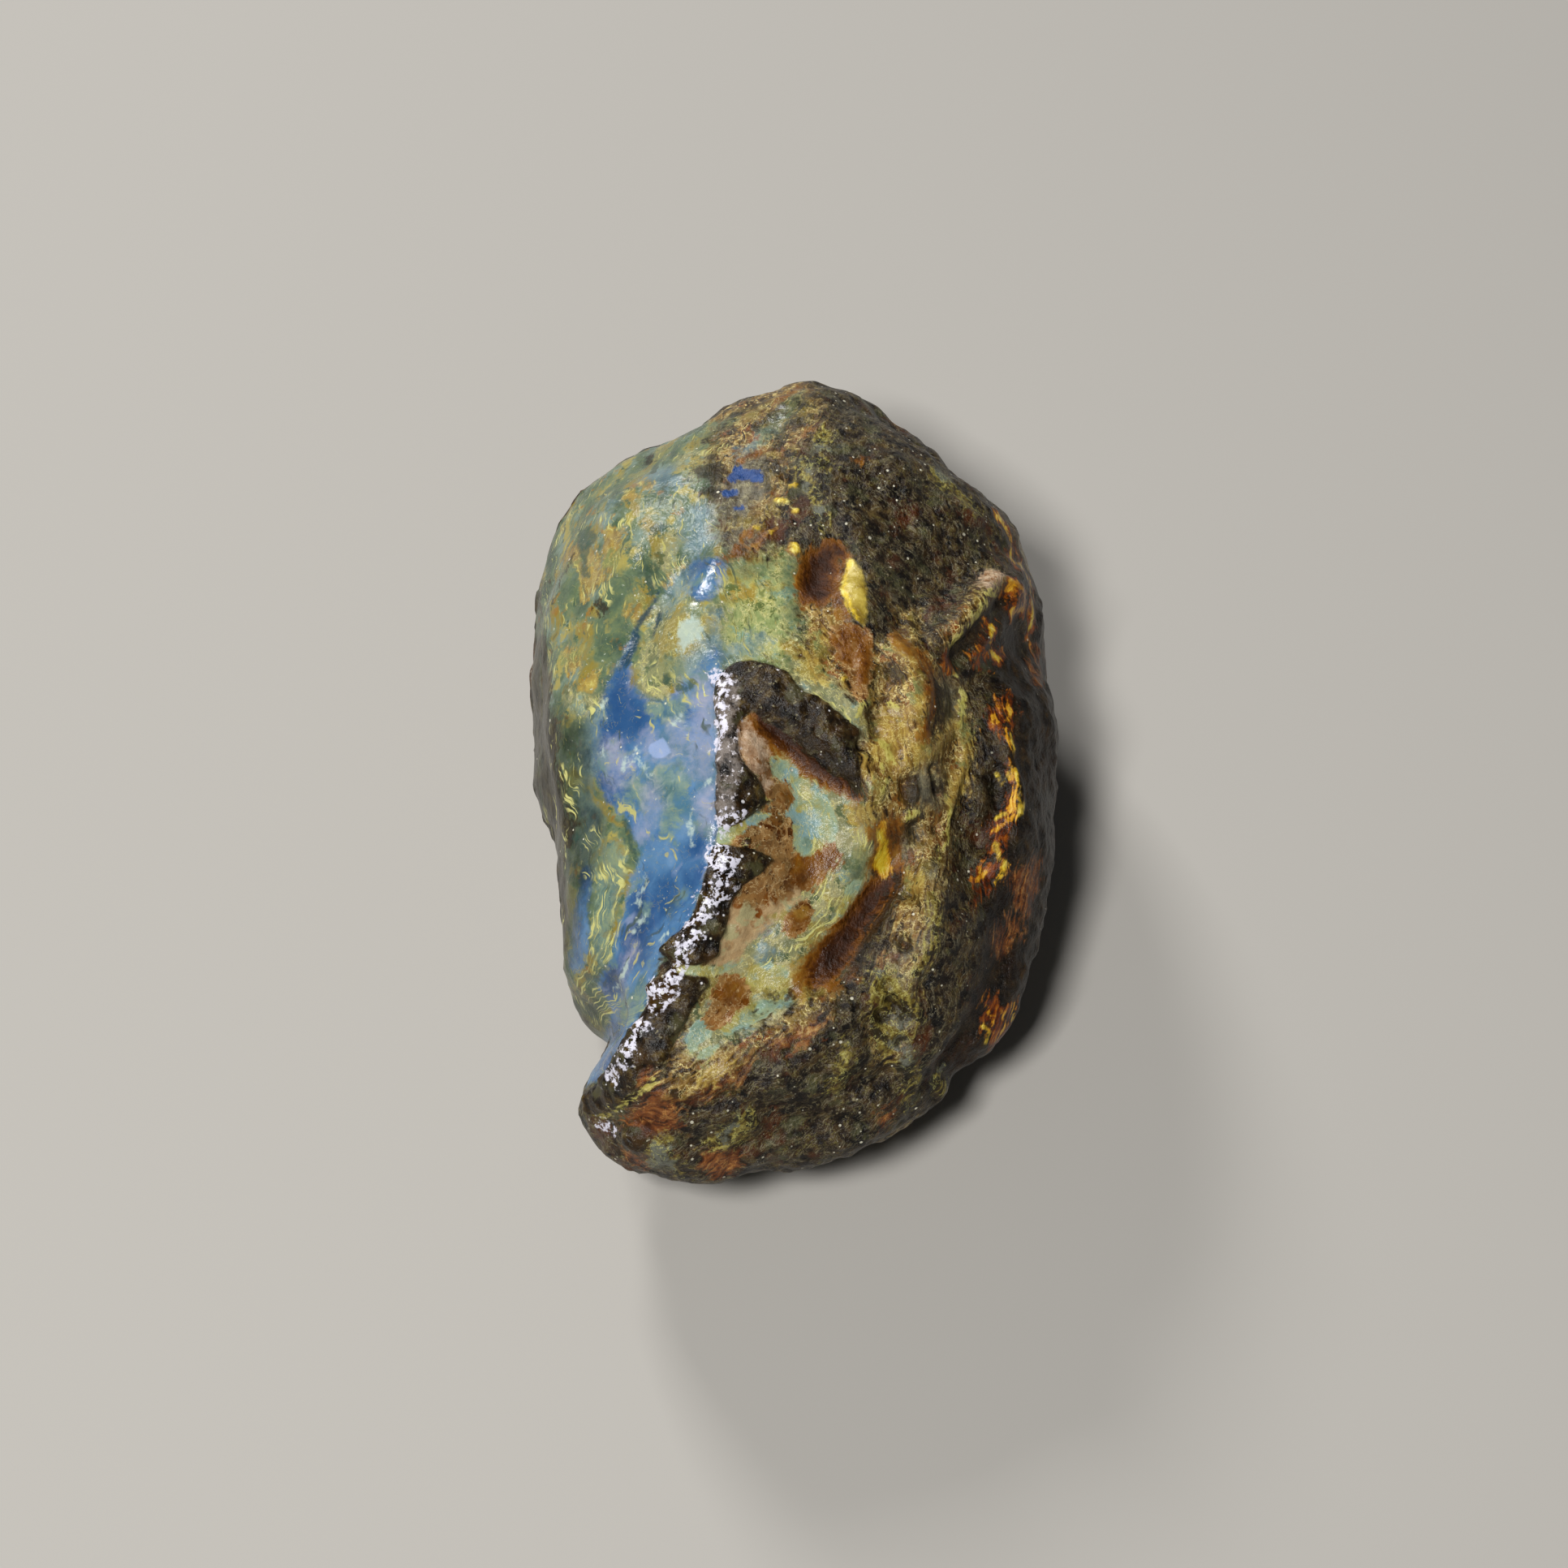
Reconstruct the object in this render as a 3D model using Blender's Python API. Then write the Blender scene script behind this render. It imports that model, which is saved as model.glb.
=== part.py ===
"""A raw piece of blue amber: one water-worn nugget of fossil resin, still half wrapped in its dark bark-like
crust, lying on the flat it has worn on its underside. It is about 64 mm long, 40 mm wide and 29 mm thick.

The nugget grew as one piece, so it is one solid. It starts as a ball, which is drawn out to the outline,
the crest and the belly below, and is then worked over with strokes that raise its ledges and lumps and
carve its hollows and grooves. Sizes are in millimetres; +Y runs along the nugget, away from its pointed
near end, +X across it, and +Z up from the surface that it rests on."""

import math

import bmesh
import bpy
import numpy as np
from mathutils import Vector, noise
from mathutils.bvhtree import BVHTree

MM = 0.001

# Driving dimensions
LENGTH = 64.3  # near tip to far tip
NEAR_END, FAR_END = -LENGTH / 2, LENGTH / 2
BALL_CUTS = 27  # cuts across each side of the cube that becomes the ball

# The outline seen from above, from the near tip to the far tip: (y along the nugget, x across it)
LEFT_SIDE = [
    (NEAR_END, -8.0), (-31.0, -10.5), (-28.5, -14.0), (-24.5, -15.4), (-18.0, -16.4), (-8.0, -18.0),
    (0.0, -19.3), (8.0, -19.6), (16.0, -19.0), (20.5, -17.2), (24.5, -13.8), (28.0, -8.6),
    (31.0, -2.8), (FAR_END, 1.8),
]
RIGHT_SIDE = [
    (NEAR_END, -8.0), (-31.5, -4.0), (-30.0, 1.6), (-28.0, 6.4), (-25.0, 10.2), (-21.0, 13.6),
    (-16.0, 16.4), (-6.0, 19.2), (1.0, 19.7), (8.0, 19.0), (17.0, 17.8), (21.0, 16.0),
    (25.0, 12.4), (28.0, 9.4), (31.0, 4.8), (FAR_END, 1.8),
]

# The crest along the top: (y, x, z), and the lines of greatest width and of the belly: (y, z)
CREST = [
    (NEAR_END, -8.0, 10.5), (-30.5, -8.6, 15.0), (-27.0, -10.0, 18.5), (-22.0, -9.5, 22.0),
    (-15.0, -8.0, 25.0), (-6.0, -6.0, 28.0), (3.0, -5.0, 29.0), (12.0, -3.0, 28.5),
    (20.0, 0.0, 26.8), (26.0, 1.0, 24.0), (30.0, 1.8, 20.0), (FAR_END, 1.8, 14.5),
]
LEFT_WIDEST = [(NEAR_END, 10.5), (-24.0, 10.5), (0.0, 12.0), (24.0, 14.0), (FAR_END, 14.5)]
RIGHT_WIDEST = [(NEAR_END, 10.5), (-24.0, 11.0), (0.0, 12.0), (24.0, 14.0), (FAR_END, 14.5)]
BELLY = [
    (NEAR_END, 10.5), (-31.0, 8.0), (-28.0, 5.2), (-22.0, 1.8), (-12.0, -0.5), (8.0, -0.6),
    (18.0, 1.0), (25.0, 4.0), (30.0, 9.0), (FAR_END, 14.5),
]
SHOULDER_ROUNDING, BELLY_ROUNDING = 2.1, 2.4  # superellipse powers: 2 is an ellipse, more is squarer

# Strokes: (name, height, radius, path). Height is along the surface, and is negative where it is carved.
# A path point (x, y) lies on top of the nugget, and (x, y, z) on the surface nearest to it.
STROKES = [
    # the outline: two bites out of the left side, a sunken far right shoulder and a corner near the right end
    ("left bite", -2.9, 4.2, [(-14.5, -20.5, 5.0), (-15.2, -20.5, 10.0), (-13.5, -21.5, 16.0)]),
    ("small left bite", -1.5, 4.0, [(-17.5, -8.0, 9.0), (-17.5, -11.0, 11.0)]),
    ("left bulge", 0.5, 5.0, [(-19.5, -1.5, 13.0)]),
    ("chin", 1.2, 4.6, [(-14.5, -26.5, 10.0), (-12.0, -29.0, 10.0)]),
    ("right bite", -0.6, 3.8, [(12.5, -23.5, 8.5), (11.0, -24.5, 12.0)]),
    ("sunken shoulder", -2.2, 6.2, [(8.5, 26.5, 20.0), (12.0, 23.5, 20.0)]),
    ("far left hollow", -0.7, 5.0, [(-8.5, 26.0, 19.0)]),
    ("far lobe", 0.5, 4.5, [(0.5, 30.5, 18.0)]),
    ("corner flange", 1.0, 3.6, [(16.0, -18.0, 13.0), (14.5, -21.5, 11.0)]),
    # the blue face: a long shallow valley between the left rim and the ridge, under the domed shoulder
    ("blue valley", -1.4, 6.5, [(-11.0, -2.0), (-12.5, -8.0), (-12.0, -14.0), (-12.0, -18.0), (-12.5, -22.0)]),
    ("left rim", 0.5, 3.4, [(-17.5, 12.0), (-17.8, 5.0), (-17.5, -1.0), (-17.0, -6.0)]),
    ("domed shoulder", 0.7, 9.0, [(-12.5, 13.0)]),
    ("brow", 1.2, 5.0, [(-6.0, 6.5), (-7.0, 2.5)]),
    ("crease beside the brow", -1.2, 3.0, [(-8.5, 9.5), (-11.0, 3.5), (-13.0, -1.0)]),
    # the ridge from the hook down to the near tip, with the bark crust standing proud of it
    ("ridge", 1.4, 3.8, [(-5.0, -9.0), (-5.2, -12.5), (-6.2, -16.5), (-8.2, -21.0), (-11.0, -26.0)]),
    ("crust hook", 1.5, 3.4, [(-4.5, -9.0), (-4.3, -2.5), (-1.5, -1.2), (2.0, -5.5), (4.5, -9.0)]),
    ("hollow in the hook", -1.3, 4.0, [(-0.5, -9.5), (1.0, -12.5), (1.0, -15.5)]),
    ("lower window", -0.6, 4.5, [(-2.5, -18.5), (-2.0, -22.0)]),
    # the right-hand crust: a pit, a lens, a long groove, scaly ridges and the finger ledge
    ("pit", -2.4, 3.0, [(1.8, 8.2)]),
    ("lens", 1.2, 2.4, [(4.4, 7.0), (4.6, 4.8)]),
    ("long groove", -1.8, 3.2, [(7.4, -12.5), (5.5, -16.0), (2.5, -20.5)]),
    ("scaly ridge", 1.0, 3.4, [(8.0, 1.0), (9.0, -3.5), (7.5, -8.5)]),
    ("vein ridge", 1.0, 3.0, [(9.4, -13.0), (9.2, -17.0), (8.0, -21.0)]),
    ("flank groove", -1.4, 3.4, [(12.2, 2.0), (11.8, -3.0), (11.6, -8.0), (12.6, -12.0)]),
    ("flank rib", 0.9, 3.0, [(15.8, 0.0), (16.2, -5.0), (15.2, -12.5)]),
    ("finger ledge", 1.6, 2.9, [(15.9, 11.0), (13.4, 7.6), (11.2, 4.6)]),
    ("hollow above the finger", -1.2, 3.4, [(12.2, 11.6), (10.0, 8.8)]),
    ("hollow under the finger", -1.9, 3.4, [(17.2, 7.0), (14.8, 3.6)]),
    ("low rib", 0.9, 3.2, [(11.5, -16.5), (12.0, -20.0), (10.0, -24.0)]),
    ("low groove", -1.3, 3.4, [(15.4, -13.0), (14.6, -19.0), (12.5, -24.0, 13.0)]),
    ("ochre ridge", 1.0, 3.2, [(-9.0, -28.0), (-2.5, -26.2), (3.0, -23.0)]),
    ("front hollow", -1.0, 4.0, [(-4.0, -30.5, 13.0), (1.0, -28.5, 14.0), (6.0, -26.0, 14.0)]),
    # the far end, the sides and the underside
    ("far vein", 0.6, 3.2, [(0.0, 25.0), (1.5, 19.0), (3.0, 12.0)]),
    ("far lump", 0.9, 5.0, [(7.5, 17.5)]),
    ("far groove", -1.5, 4.4, [(-9.0, 26.0, 10.0), (-1.0, 30.0, 10.0), (7.0, 28.5, 10.0)]),
    ("far ledge", 1.2, 4.0, [(-12.0, 23.0, 6.0), (-3.0, 27.0, 5.0), (6.0, 26.0, 5.0)]),
    ("left groove", -1.2, 4.0, [(-19.0, 14.0, 8.5), (-19.5, 8.0, 5.5), (-18.5, 0.0, 7.5), (-17.0, -5.0, 5.0)]),
    ("left lump", 0.9, 5.0, [(-17.5, 13.0, 4.5)]),
    ("low left ledge", 1.2, 4.2, [(-15.5, -1.0, 3.5), (-14.5, -10.0, 3.5)]),
    ("right groove", -1.4, 4.0, [(17.5, 15.0, 10.0), (19.0, 7.0, 6.5), (19.0, -2.0, 9.0), (16.5, -11.0, 6.5)]),
    ("low right ledge", 1.1, 4.0, [(16.5, 11.0, 4.0), (17.0, 3.0, 5.0)]),
    ("right lump", 0.9, 4.5, [(15.5, -7.0, 4.0)]),
    ("near hollow", -1.1, 4.4, [(3.0, -26.5, 6.0), (10.0, -21.5, 6.0)]),
    ("underside furrow", 1.8, 4.0, [(-10.0, 12.0, 0.0), (-3.0, 17.0, 0.0), (4.0, 18.0, 0.5)]),
]

LUMP_SIZES = [(10.0, 0.8), (4.5, 0.5)]  # how wide and how high the small uneven lumps all over are


def along(profile, y, column=1):
    """A smooth curve through a profile, read against the angle round the nugget so that its tips are round."""
    knots = np.array([math.acos(max(-1.0, min(1.0, -point[0] / FAR_END))) for point in profile])
    values = np.array([point[column] for point in profile])
    slopes = np.gradient(values, knots)
    wanted = np.arccos(np.clip(-y / FAR_END, -1.0, 1.0))
    before = np.clip(np.searchsorted(knots, wanted) - 1, 0, len(knots) - 2)
    gap = knots[before + 1] - knots[before]
    share = (wanted - knots[before]) / gap
    rest = 1 - share
    return (
        values[before] * rest**2 * (1 + 2 * share)
        + values[before + 1] * share**2 * (1 + 2 * rest)
        + gap * share * rest * (slopes[before] * rest - slopes[before + 1] * share)
    )


def ball():
    """A ball with even square faces: a cut-up cube whose corners are drawn in to the same radius."""
    shape = bmesh.new()
    bmesh.ops.create_cube(shape, size=2.0)
    bmesh.ops.subdivide_edges(shape, edges=shape.edges[:], cuts=BALL_CUTS, use_grid_fill=True)
    for vertex in shape.verts:
        evened = Vector([math.tan(axis * math.pi / 4) for axis in vertex.co])
        vertex.co = evened.normalized()
    return shape


def draw_out(points):
    """The ball's points drawn out to the nugget's outline, crest and belly."""
    y = points[:, 1] * FAR_END
    round_section = np.arctan2(points[:, 2], points[:, 0])
    across, up = np.cos(round_section), np.sin(round_section)
    power = np.where(up >= 0, 2 / SHOULDER_ROUNDING, 2 / BELLY_ROUNDING)
    reach_across = np.abs(across) ** power
    reach_up = np.abs(up) ** power
    edge_x = np.where(across < 0, along(LEFT_SIDE, y), along(RIGHT_SIDE, y))
    edge_z = np.where(across < 0, along(LEFT_WIDEST, y), along(RIGHT_WIDEST, y))
    crest_x = along(CREST, y)
    top_z = np.where(up >= 0, along(CREST, y, 2), along(BELLY, y))
    x = crest_x + (edge_x - crest_x) * reach_across
    z = edge_z + (top_z - edge_z) * reach_up
    return np.column_stack([x, y, z])


def path_on(surface, path):
    """A stroke's path laid on the surface."""
    laid = []
    for point in path:
        if len(point) == 2:
            hit = surface.ray_cast(Vector((*point, 100.0)), Vector((0, 0, -1)))[0]
        else:
            hit = surface.find_nearest(Vector(point))[0]
        laid.append(np.array(hit))
    return laid


def distance_to(points, path):
    """How far each point is from a path of straight runs."""
    nearest = np.full(len(points), np.inf)
    for start, end in zip(path[:-1], path[1:]):
        run = end - start
        share = np.clip((points - start) @ run / max(run @ run, 1e-9), 0.0, 1.0)
        nearest = np.minimum(nearest, np.linalg.norm(points - start - share[:, None] * run, axis=1))
    return nearest


def coordinates(shape):
    return np.array([vertex.co for vertex in shape.verts])


def move(shape, points):
    for vertex, point in zip(shape.verts, points):
        vertex.co = point
    shape.normal_update()


def work(shape):
    """Raises and carves every stroke along the normals of the bare form."""
    points = coordinates(shape)
    normals = np.array([vertex.normal for vertex in shape.verts])
    surface = BVHTree.FromBMesh(shape)
    rise = np.zeros(len(points))
    for _, height, radius, path in STROKES:
        laid = path_on(surface, path if len(path) > 1 else path * 2)
        rise += height * np.clip(1 - (distance_to(points, laid) / radius) ** 2, 0.0, 1.0) ** 2
    move(shape, points + normals * rise[:, None])


def ease(shape):
    """Takes the sharpness out of steps and folds."""
    bmesh.ops.smooth_vert(
        shape, verts=shape.verts[:], factor=0.5, use_axis_x=True, use_axis_y=True, use_axis_z=True
    )
    shape.normal_update()


def roughen(shape):
    """The uneven lumps all over."""
    for size, height in LUMP_SIZES:
        for vertex in shape.verts:
            vertex.co += vertex.normal * height * noise.noise(vertex.co / size)
        shape.normal_update()


def rest_flat(shape):
    """Wears the underside flat on the surface and puts the origin under the middle of the nugget."""
    points = coordinates(shape)
    points[:, 2] = np.maximum(points[:, 2], 0.0)
    middle = (points.min(axis=0) + points.max(axis=0)) / 2
    points[:, :2] -= middle[:2]
    move(shape, points)


def amber_material():
    """Dark honey resin, glossy where the water has worn it."""
    material = bpy.data.materials.new("raw_blue_amber")
    material.use_nodes = True
    surface = material.node_tree.nodes["Principled BSDF"]
    surface.inputs["Base Color"].default_value = (0.13, 0.14, 0.10, 1.0)
    surface.inputs["Roughness"].default_value = 0.3
    surface.inputs["Metallic"].default_value = 0.0
    surface.inputs["IOR"].default_value = 1.54
    return material


def build():
    for old in list(bpy.data.objects):
        bpy.data.objects.remove(old)
    collection = bpy.data.collections.new("raw_blue_amber_piece")
    bpy.context.scene.collection.children.link(collection)
    shape = ball()
    move(shape, draw_out(coordinates(shape)))
    ease(shape)
    work(shape)
    ease(shape)
    roughen(shape)
    rest_flat(shape)
    bmesh.ops.recalc_face_normals(shape, faces=shape.faces[:])
    bmesh.ops.scale(shape, vec=(MM, MM, MM), verts=shape.verts[:])
    mesh = bpy.data.meshes.new("raw_amber")
    shape.to_mesh(mesh)
    shape.free()
    mesh.materials.append(amber_material())
    mesh.shade_smooth()
    nugget = bpy.data.objects.new("raw_amber", mesh)
    collection.objects.link(nugget)
    return nugget


build()
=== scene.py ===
import math

import bmesh
import bpy
import numpy as np
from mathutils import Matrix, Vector
from mathutils.bvhtree import BVHTree


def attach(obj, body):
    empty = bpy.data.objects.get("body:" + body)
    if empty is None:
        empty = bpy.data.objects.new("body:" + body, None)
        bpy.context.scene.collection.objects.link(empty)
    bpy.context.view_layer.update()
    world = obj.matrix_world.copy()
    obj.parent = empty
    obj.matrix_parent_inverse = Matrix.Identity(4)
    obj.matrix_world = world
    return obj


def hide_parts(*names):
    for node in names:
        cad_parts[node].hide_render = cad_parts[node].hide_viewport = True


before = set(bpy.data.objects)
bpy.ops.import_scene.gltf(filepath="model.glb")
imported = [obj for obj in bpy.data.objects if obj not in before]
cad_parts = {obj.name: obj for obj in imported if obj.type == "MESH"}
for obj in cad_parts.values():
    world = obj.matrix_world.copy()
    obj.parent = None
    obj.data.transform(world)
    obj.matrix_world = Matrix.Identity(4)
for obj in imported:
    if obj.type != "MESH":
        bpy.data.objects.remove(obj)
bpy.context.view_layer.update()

# ---------------------------------------------------------------------------------------------------------
# The viewer. The nugget lies on a table with its pointed near end towards the viewer, who looks down on it
# from 60 degrees up through a long lens. Marks on the side that faces the viewer are placed further down by
# their spot in this camera's 1932-pixel picture.
MM = 0.001
PICTURE = 1932
SENSOR_MM, LENS_MM = 36.0, 100.0
LOOK_AT = Vector((-0.7, -1.25, 13.5))
DISTANCE, ELEVATION = 322.0, math.radians(60.0)
FORWARD = Vector((0.0, math.cos(ELEVATION), -math.sin(ELEVATION)))
UPWARD = Vector((0.0, math.sin(ELEVATION), math.cos(ELEVATION)))
EYE = LOOK_AT - FORWARD * DISTANCE
PIXELS_AT_UNIT_DEPTH = PICTURE * LENS_MM / SENSOR_MM

camera_data = bpy.data.cameras.new("camera")
camera_data.lens = LENS_MM
camera_data.sensor_width = SENSOR_MM
camera_data.clip_start = 0.01
camera = bpy.data.objects.new("camera", camera_data)
camera.location = EYE * MM
camera.rotation_euler = FORWARD.to_track_quat("-Z", "Y").to_euler()
bpy.context.scene.collection.objects.link(camera)
bpy.context.scene.camera = camera
bpy.context.scene.view_settings.view_transform = "Standard"

# ---------------------------------------------------------------------------------------------------------
# The nugget: one water-worn lump of fossil resin, still half wrapped in the bark it ran over. Its form is
# the solid's, cut into even faces of 0.5 mm, and of 0.25 mm on the side that is looked at most.
FACE_SIZE = 0.5
GRAZING = 0.05  # the cosine past which a face is seen too sideways to need finer faces

form = bmesh.new()
form.from_mesh(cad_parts["raw_amber"].data)
bmesh.ops.scale(form, vec=(1 / MM, 1 / MM, 1 / MM), verts=form.verts[:])
bmesh.ops.remove_doubles(form, verts=form.verts[:], dist=0.01)
bmesh.ops.join_triangles(form, faces=form.faces[:], angle_face_threshold=0.7, angle_shape_threshold=0.8)
bmesh.ops.recalc_face_normals(form, faces=form.faces[:])
mesh = bpy.data.meshes.new("nugget")
form.to_mesh(mesh)
form.free()
nugget = bpy.data.objects.new("nugget", mesh)
bpy.context.scene.collection.objects.link(nugget)
smoothing = nugget.modifiers.new("smoothing", "SUBSURF")
smoothing.levels = smoothing.render_levels = 2
evening = nugget.modifiers.new("evening", "REMESH")
evening.mode = "VOXEL"
evening.voxel_size = FACE_SIZE
evened = bpy.data.meshes.new_from_object(nugget.evaluated_get(bpy.context.evaluated_depsgraph_get()))
nugget.modifiers.clear()

form = bmesh.new()
form.from_mesh(evened)
for _ in range(2):
    bmesh.ops.smooth_vert(
        form, verts=form.verts[:], factor=0.5, use_axis_x=True, use_axis_y=True, use_axis_z=True
    )
form.normal_update()
in_view = {
    edge for face in form.faces
    if face.normal.dot(EYE - face.calc_center_median()) > GRAZING * DISTANCE for edge in face.edges
}
bmesh.ops.subdivide_edges(form, edges=list(in_view), cuts=1, use_grid_fill=True)
bmesh.ops.smooth_vert(
    form, verts=form.verts[:], factor=0.5, use_axis_x=True, use_axis_y=True, use_axis_z=True
)
for vertex in form.verts:
    vertex.co.z = max(vertex.co.z, 0.0)
form.normal_update()
surface = BVHTree.FromBMesh(form)
points = np.array([vertex.co for vertex in form.verts])
normals = np.array([vertex.normal for vertex in form.verts])
form.verts.index_update()
edges = np.array([[vertex.index for vertex in edge.verts] for edge in form.edges])

# ---------------------------------------------------------------------------------------------------------
# The grain: the way the resin ran down the trunk and the way the bark's fibres lie on it. Streaks, threads
# and grooves all follow it. The lines below run along it, and between them it turns gradually.
STEP = 6.0  # pixels between two spots of a line


def lay(spots, closed=False):
    """The smooth line through some spots of the picture, laid on the nugget."""
    spots = [np.array(spot, float) for spot in spots]
    if closed:
        around = [spots[-1], *spots, spots[0], spots[1]]
    else:
        around = [spots[0], *spots, spots[-1]]
    line = []
    for before, start, end, after in zip(around[:-3], around[1:-2], around[2:-1], around[3:]):
        steps = max(1, round(np.linalg.norm(end - start) / STEP))
        for share in np.arange(steps) / steps:
            line.append(0.5 * (
                2 * start + (end - before) * share
                + (2 * before - 5 * start + 4 * end - after) * share**2
                + (3 * start - before - 3 * end + after) * share**3
            ))
    line.append(line[0] if closed else spots[-1])
    on_nugget = []
    for x, y in line:
        sight = (
            FORWARD + Vector((1, 0, 0)) * (x - PICTURE / 2) / PIXELS_AT_UNIT_DEPTH
            - UPWARD * (y - PICTURE / 2) / PIXELS_AT_UNIT_DEPTH
        ).normalized()
        hit = surface.ray_cast(EYE, sight)[0]
        if hit is None:
            hit = surface.find_nearest(EYE + sight * DISTANCE)[0]
        on_nugget.append(np.array(hit))
    return np.array(line), np.array(on_nugget)


RUNS = [
    [(800, 556), (745, 606), (700, 680), (676, 770), (668, 880)],
    [(860, 560), (800, 620), (760, 700), (735, 790), (715, 870), (712, 960), (715, 1050), (712, 1140),
     (706, 1220)],
    [(872, 640), (838, 720), (802, 790), (770, 860), (752, 930), (745, 1000), (742, 1080), (735, 1160),
     (735, 1240)],
    [(830, 850), (815, 930), (800, 1010), (795, 1080), (780, 1150), (765, 1220), (745, 1300)],
    [(880, 820), (870, 900), (862, 980), (850, 1060), (825, 1130), (800, 1190)],
    [(985, 480), (940, 520), (890, 580), (850, 640)],
    [(900, 690), (930, 740), (965, 790), (1000, 840), (1040, 880)],
    [(960, 680), (1000, 750), (1040, 810), (1070, 870), (1090, 930), (1096, 990)],
    [(940, 830), (985, 870), (1030, 920), (1060, 985)], [(900, 850), (895, 920), (900, 1000)],
    [(940, 930), (975, 975), (1000, 1040)],
    [(1062, 1000), (1052, 1060), (1020, 1120), (970, 1180), (910, 1240), (860, 1300), (800, 1350)],
    [(965, 1010), (950, 1060), (925, 1110), (890, 1170), (850, 1240), (815, 1310), (760, 1380)],
    [(1020, 540), (1050, 620), (1080, 700), (1112, 780), (1128, 860), (1120, 940), (1130, 1010)],
    [(1100, 560), (1130, 640), (1150, 720), (1160, 790), (1172, 860), (1180, 960), (1165, 1050),
     (1145, 1150), (1120, 1240), (1080, 1310), (1000, 1380), (900, 1430)],
    [(1200, 640), (1215, 730), (1235, 820), (1245, 920), (1250, 1000), (1235, 1080), (1225, 1170),
     (1205, 1260), (1150, 1340), (1060, 1400), (960, 1440)],
    [(1290, 860), (1295, 960), (1285, 1060), (1260, 1180), (1235, 1280)],
    [(1102, 1010), (1100, 1080), (1065, 1140), (1030, 1200), (960, 1270), (870, 1350), (800, 1400)],
]
run_points, run_ways = [], []
for run in RUNS:
    spots = lay(run)[1][::3]
    run_points.append((spots[:-1] + spots[1:]) / 2)
    run_ways.append(spots[1:] - spots[:-1])
run_points, run_ways = np.concatenate(run_points), np.concatenate(run_ways)
run_ways /= np.linalg.norm(run_ways, axis=1)[:, None]
LENGTHWISE, UPRIGHT = np.array((0.1, -1.0, 0.0)), np.array((0.0, 0.0, 1.0))
ways = 0.002 * (LENGTHWISE + UPRIGHT * normals[:, 1:2])
for middle, way in zip(run_points, run_ways):
    ways += way / (1.0 + ((points - middle) ** 2).sum(axis=1)[:, None]) ** 2
ways -= normals * (ways * normals).sum(axis=1)[:, None]
ways /= np.maximum(np.linalg.norm(ways, axis=1), 1e-6)[:, None]


def measured(directions, guess, rounds=300):
    """The millimetres that grow along these directions: a least-squares fit over all edges."""
    start, end = edges.T
    rises = ((directions[start] + directions[end]) / 2 * (points[end] - points[start])).sum(axis=1)

    def gathered(values):
        return np.bincount(end, values, len(points)) - np.bincount(start, values, len(points))

    fitted = guess.copy()
    left = gathered(rises - (fitted[end] - fitted[start]))
    step, size = left.copy(), left @ left
    for _ in range(rounds):
        pull = gathered(step[end] - step[start])
        share = size / (step @ pull)
        fitted += share * step
        left = left - share * pull
        step, size = left + (left @ left) / size * step, left @ left
    return fitted


# The grain's own two coordinates, along it and across it, in millimetres over the whole surface.
LOW_EDGE = 3.0  # the underside's own half of the surface lies below this height
outward = np.where(points[:, 2] > LOW_EDGE, 1.0, -1.0)[:, None]
along = measured(ways, points @ LENGTHWISE)
across = measured(np.cross(normals, ways) * outward, points[:, 0])
grain = np.stack((along, across, np.zeros(len(points))), axis=1)


# ---------------------------------------------------------------------------------------------------------
# The domed shoulder and the left margin: bare resin of a waxy grey-green, full of thin yellow streaks, pale
# blue clouds and brown specks where bark fibres went in. The sea has polished it.

# How the nugget is marked: a matter's field says, for each point of the surface, how many millimetres it is
# inside (or, below zero, outside) the patches and streaks of that matter.
REACH = 3.0  # millimetres past its outline in which a mark counts
fields = {}
rise = np.zeros(len(points))  # how far out each point is moved, in millimetres

from_eye = points - np.array(EYE)
depth = from_eye @ np.array(FORWARD)
seen_x = PICTURE / 2 + PIXELS_AT_UNIT_DEPTH * from_eye[:, 0] / depth
seen_y = PICTURE / 2 - PIXELS_AT_UNIT_DEPTH * (from_eye @ np.array(UPWARD)) / depth
facing = -(from_eye * normals).sum(axis=1) / np.linalg.norm(from_eye, axis=1)


def near(line):
    """The points that a mark along this line of the picture can reach."""
    margin = REACH * PIXELS_AT_UNIT_DEPTH / DISTANCE
    low, high = line.min(axis=0) - margin, line.max(axis=0) + margin
    return np.nonzero(
        (facing > -0.5) & (seen_x > low[0]) & (seen_x < high[0]) & (seen_y > low[1]) & (seen_y < high[1])
    )[0]


def distance_to(places, path):
    """How far each place is from a path, in millimetres, up to the reach of a mark."""
    nearest = np.full(len(places), REACH)
    for start, end in zip(path[:-1], path[1:]):
        run = end - start
        share = np.clip((places - start) @ run / max(run @ run, 1e-9), 0.0, 1.0)
        nearest = np.minimum(nearest, np.linalg.norm(places - start - share[:, None] * run, axis=1))
    return nearest


def mark(matter, reached, inside):
    """Enters a mark in the field of its matter."""
    field = fields.setdefault(matter, np.full(len(points), -REACH))
    field[reached] = np.maximum(field[reached], inside)


def patch(matter, *outlines):
    """Lays patches of a matter, each inside an outline of spots."""
    for outline in outlines:
        line, on_nugget = lay(outline, closed=True)
        reached = near(line)
        x, y = seen_x[reached], seen_y[reached]
        crossings = np.zeros(len(reached), int)
        for (x0, y0), (x1, y1) in zip(line[:-1], line[1:]):
            spans = (y0 > y) != (y1 > y)
            crossings += spans & (x < x0 + (y - y0) * (x1 - x0) / (y1 - y0 if y1 != y0 else 1.0))
        inside = np.where((crossings % 2 == 1) & (facing[reached] > 0), 1.0, -1.0)
        mark(matter, reached, inside * distance_to(points[reached], on_nugget))


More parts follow.
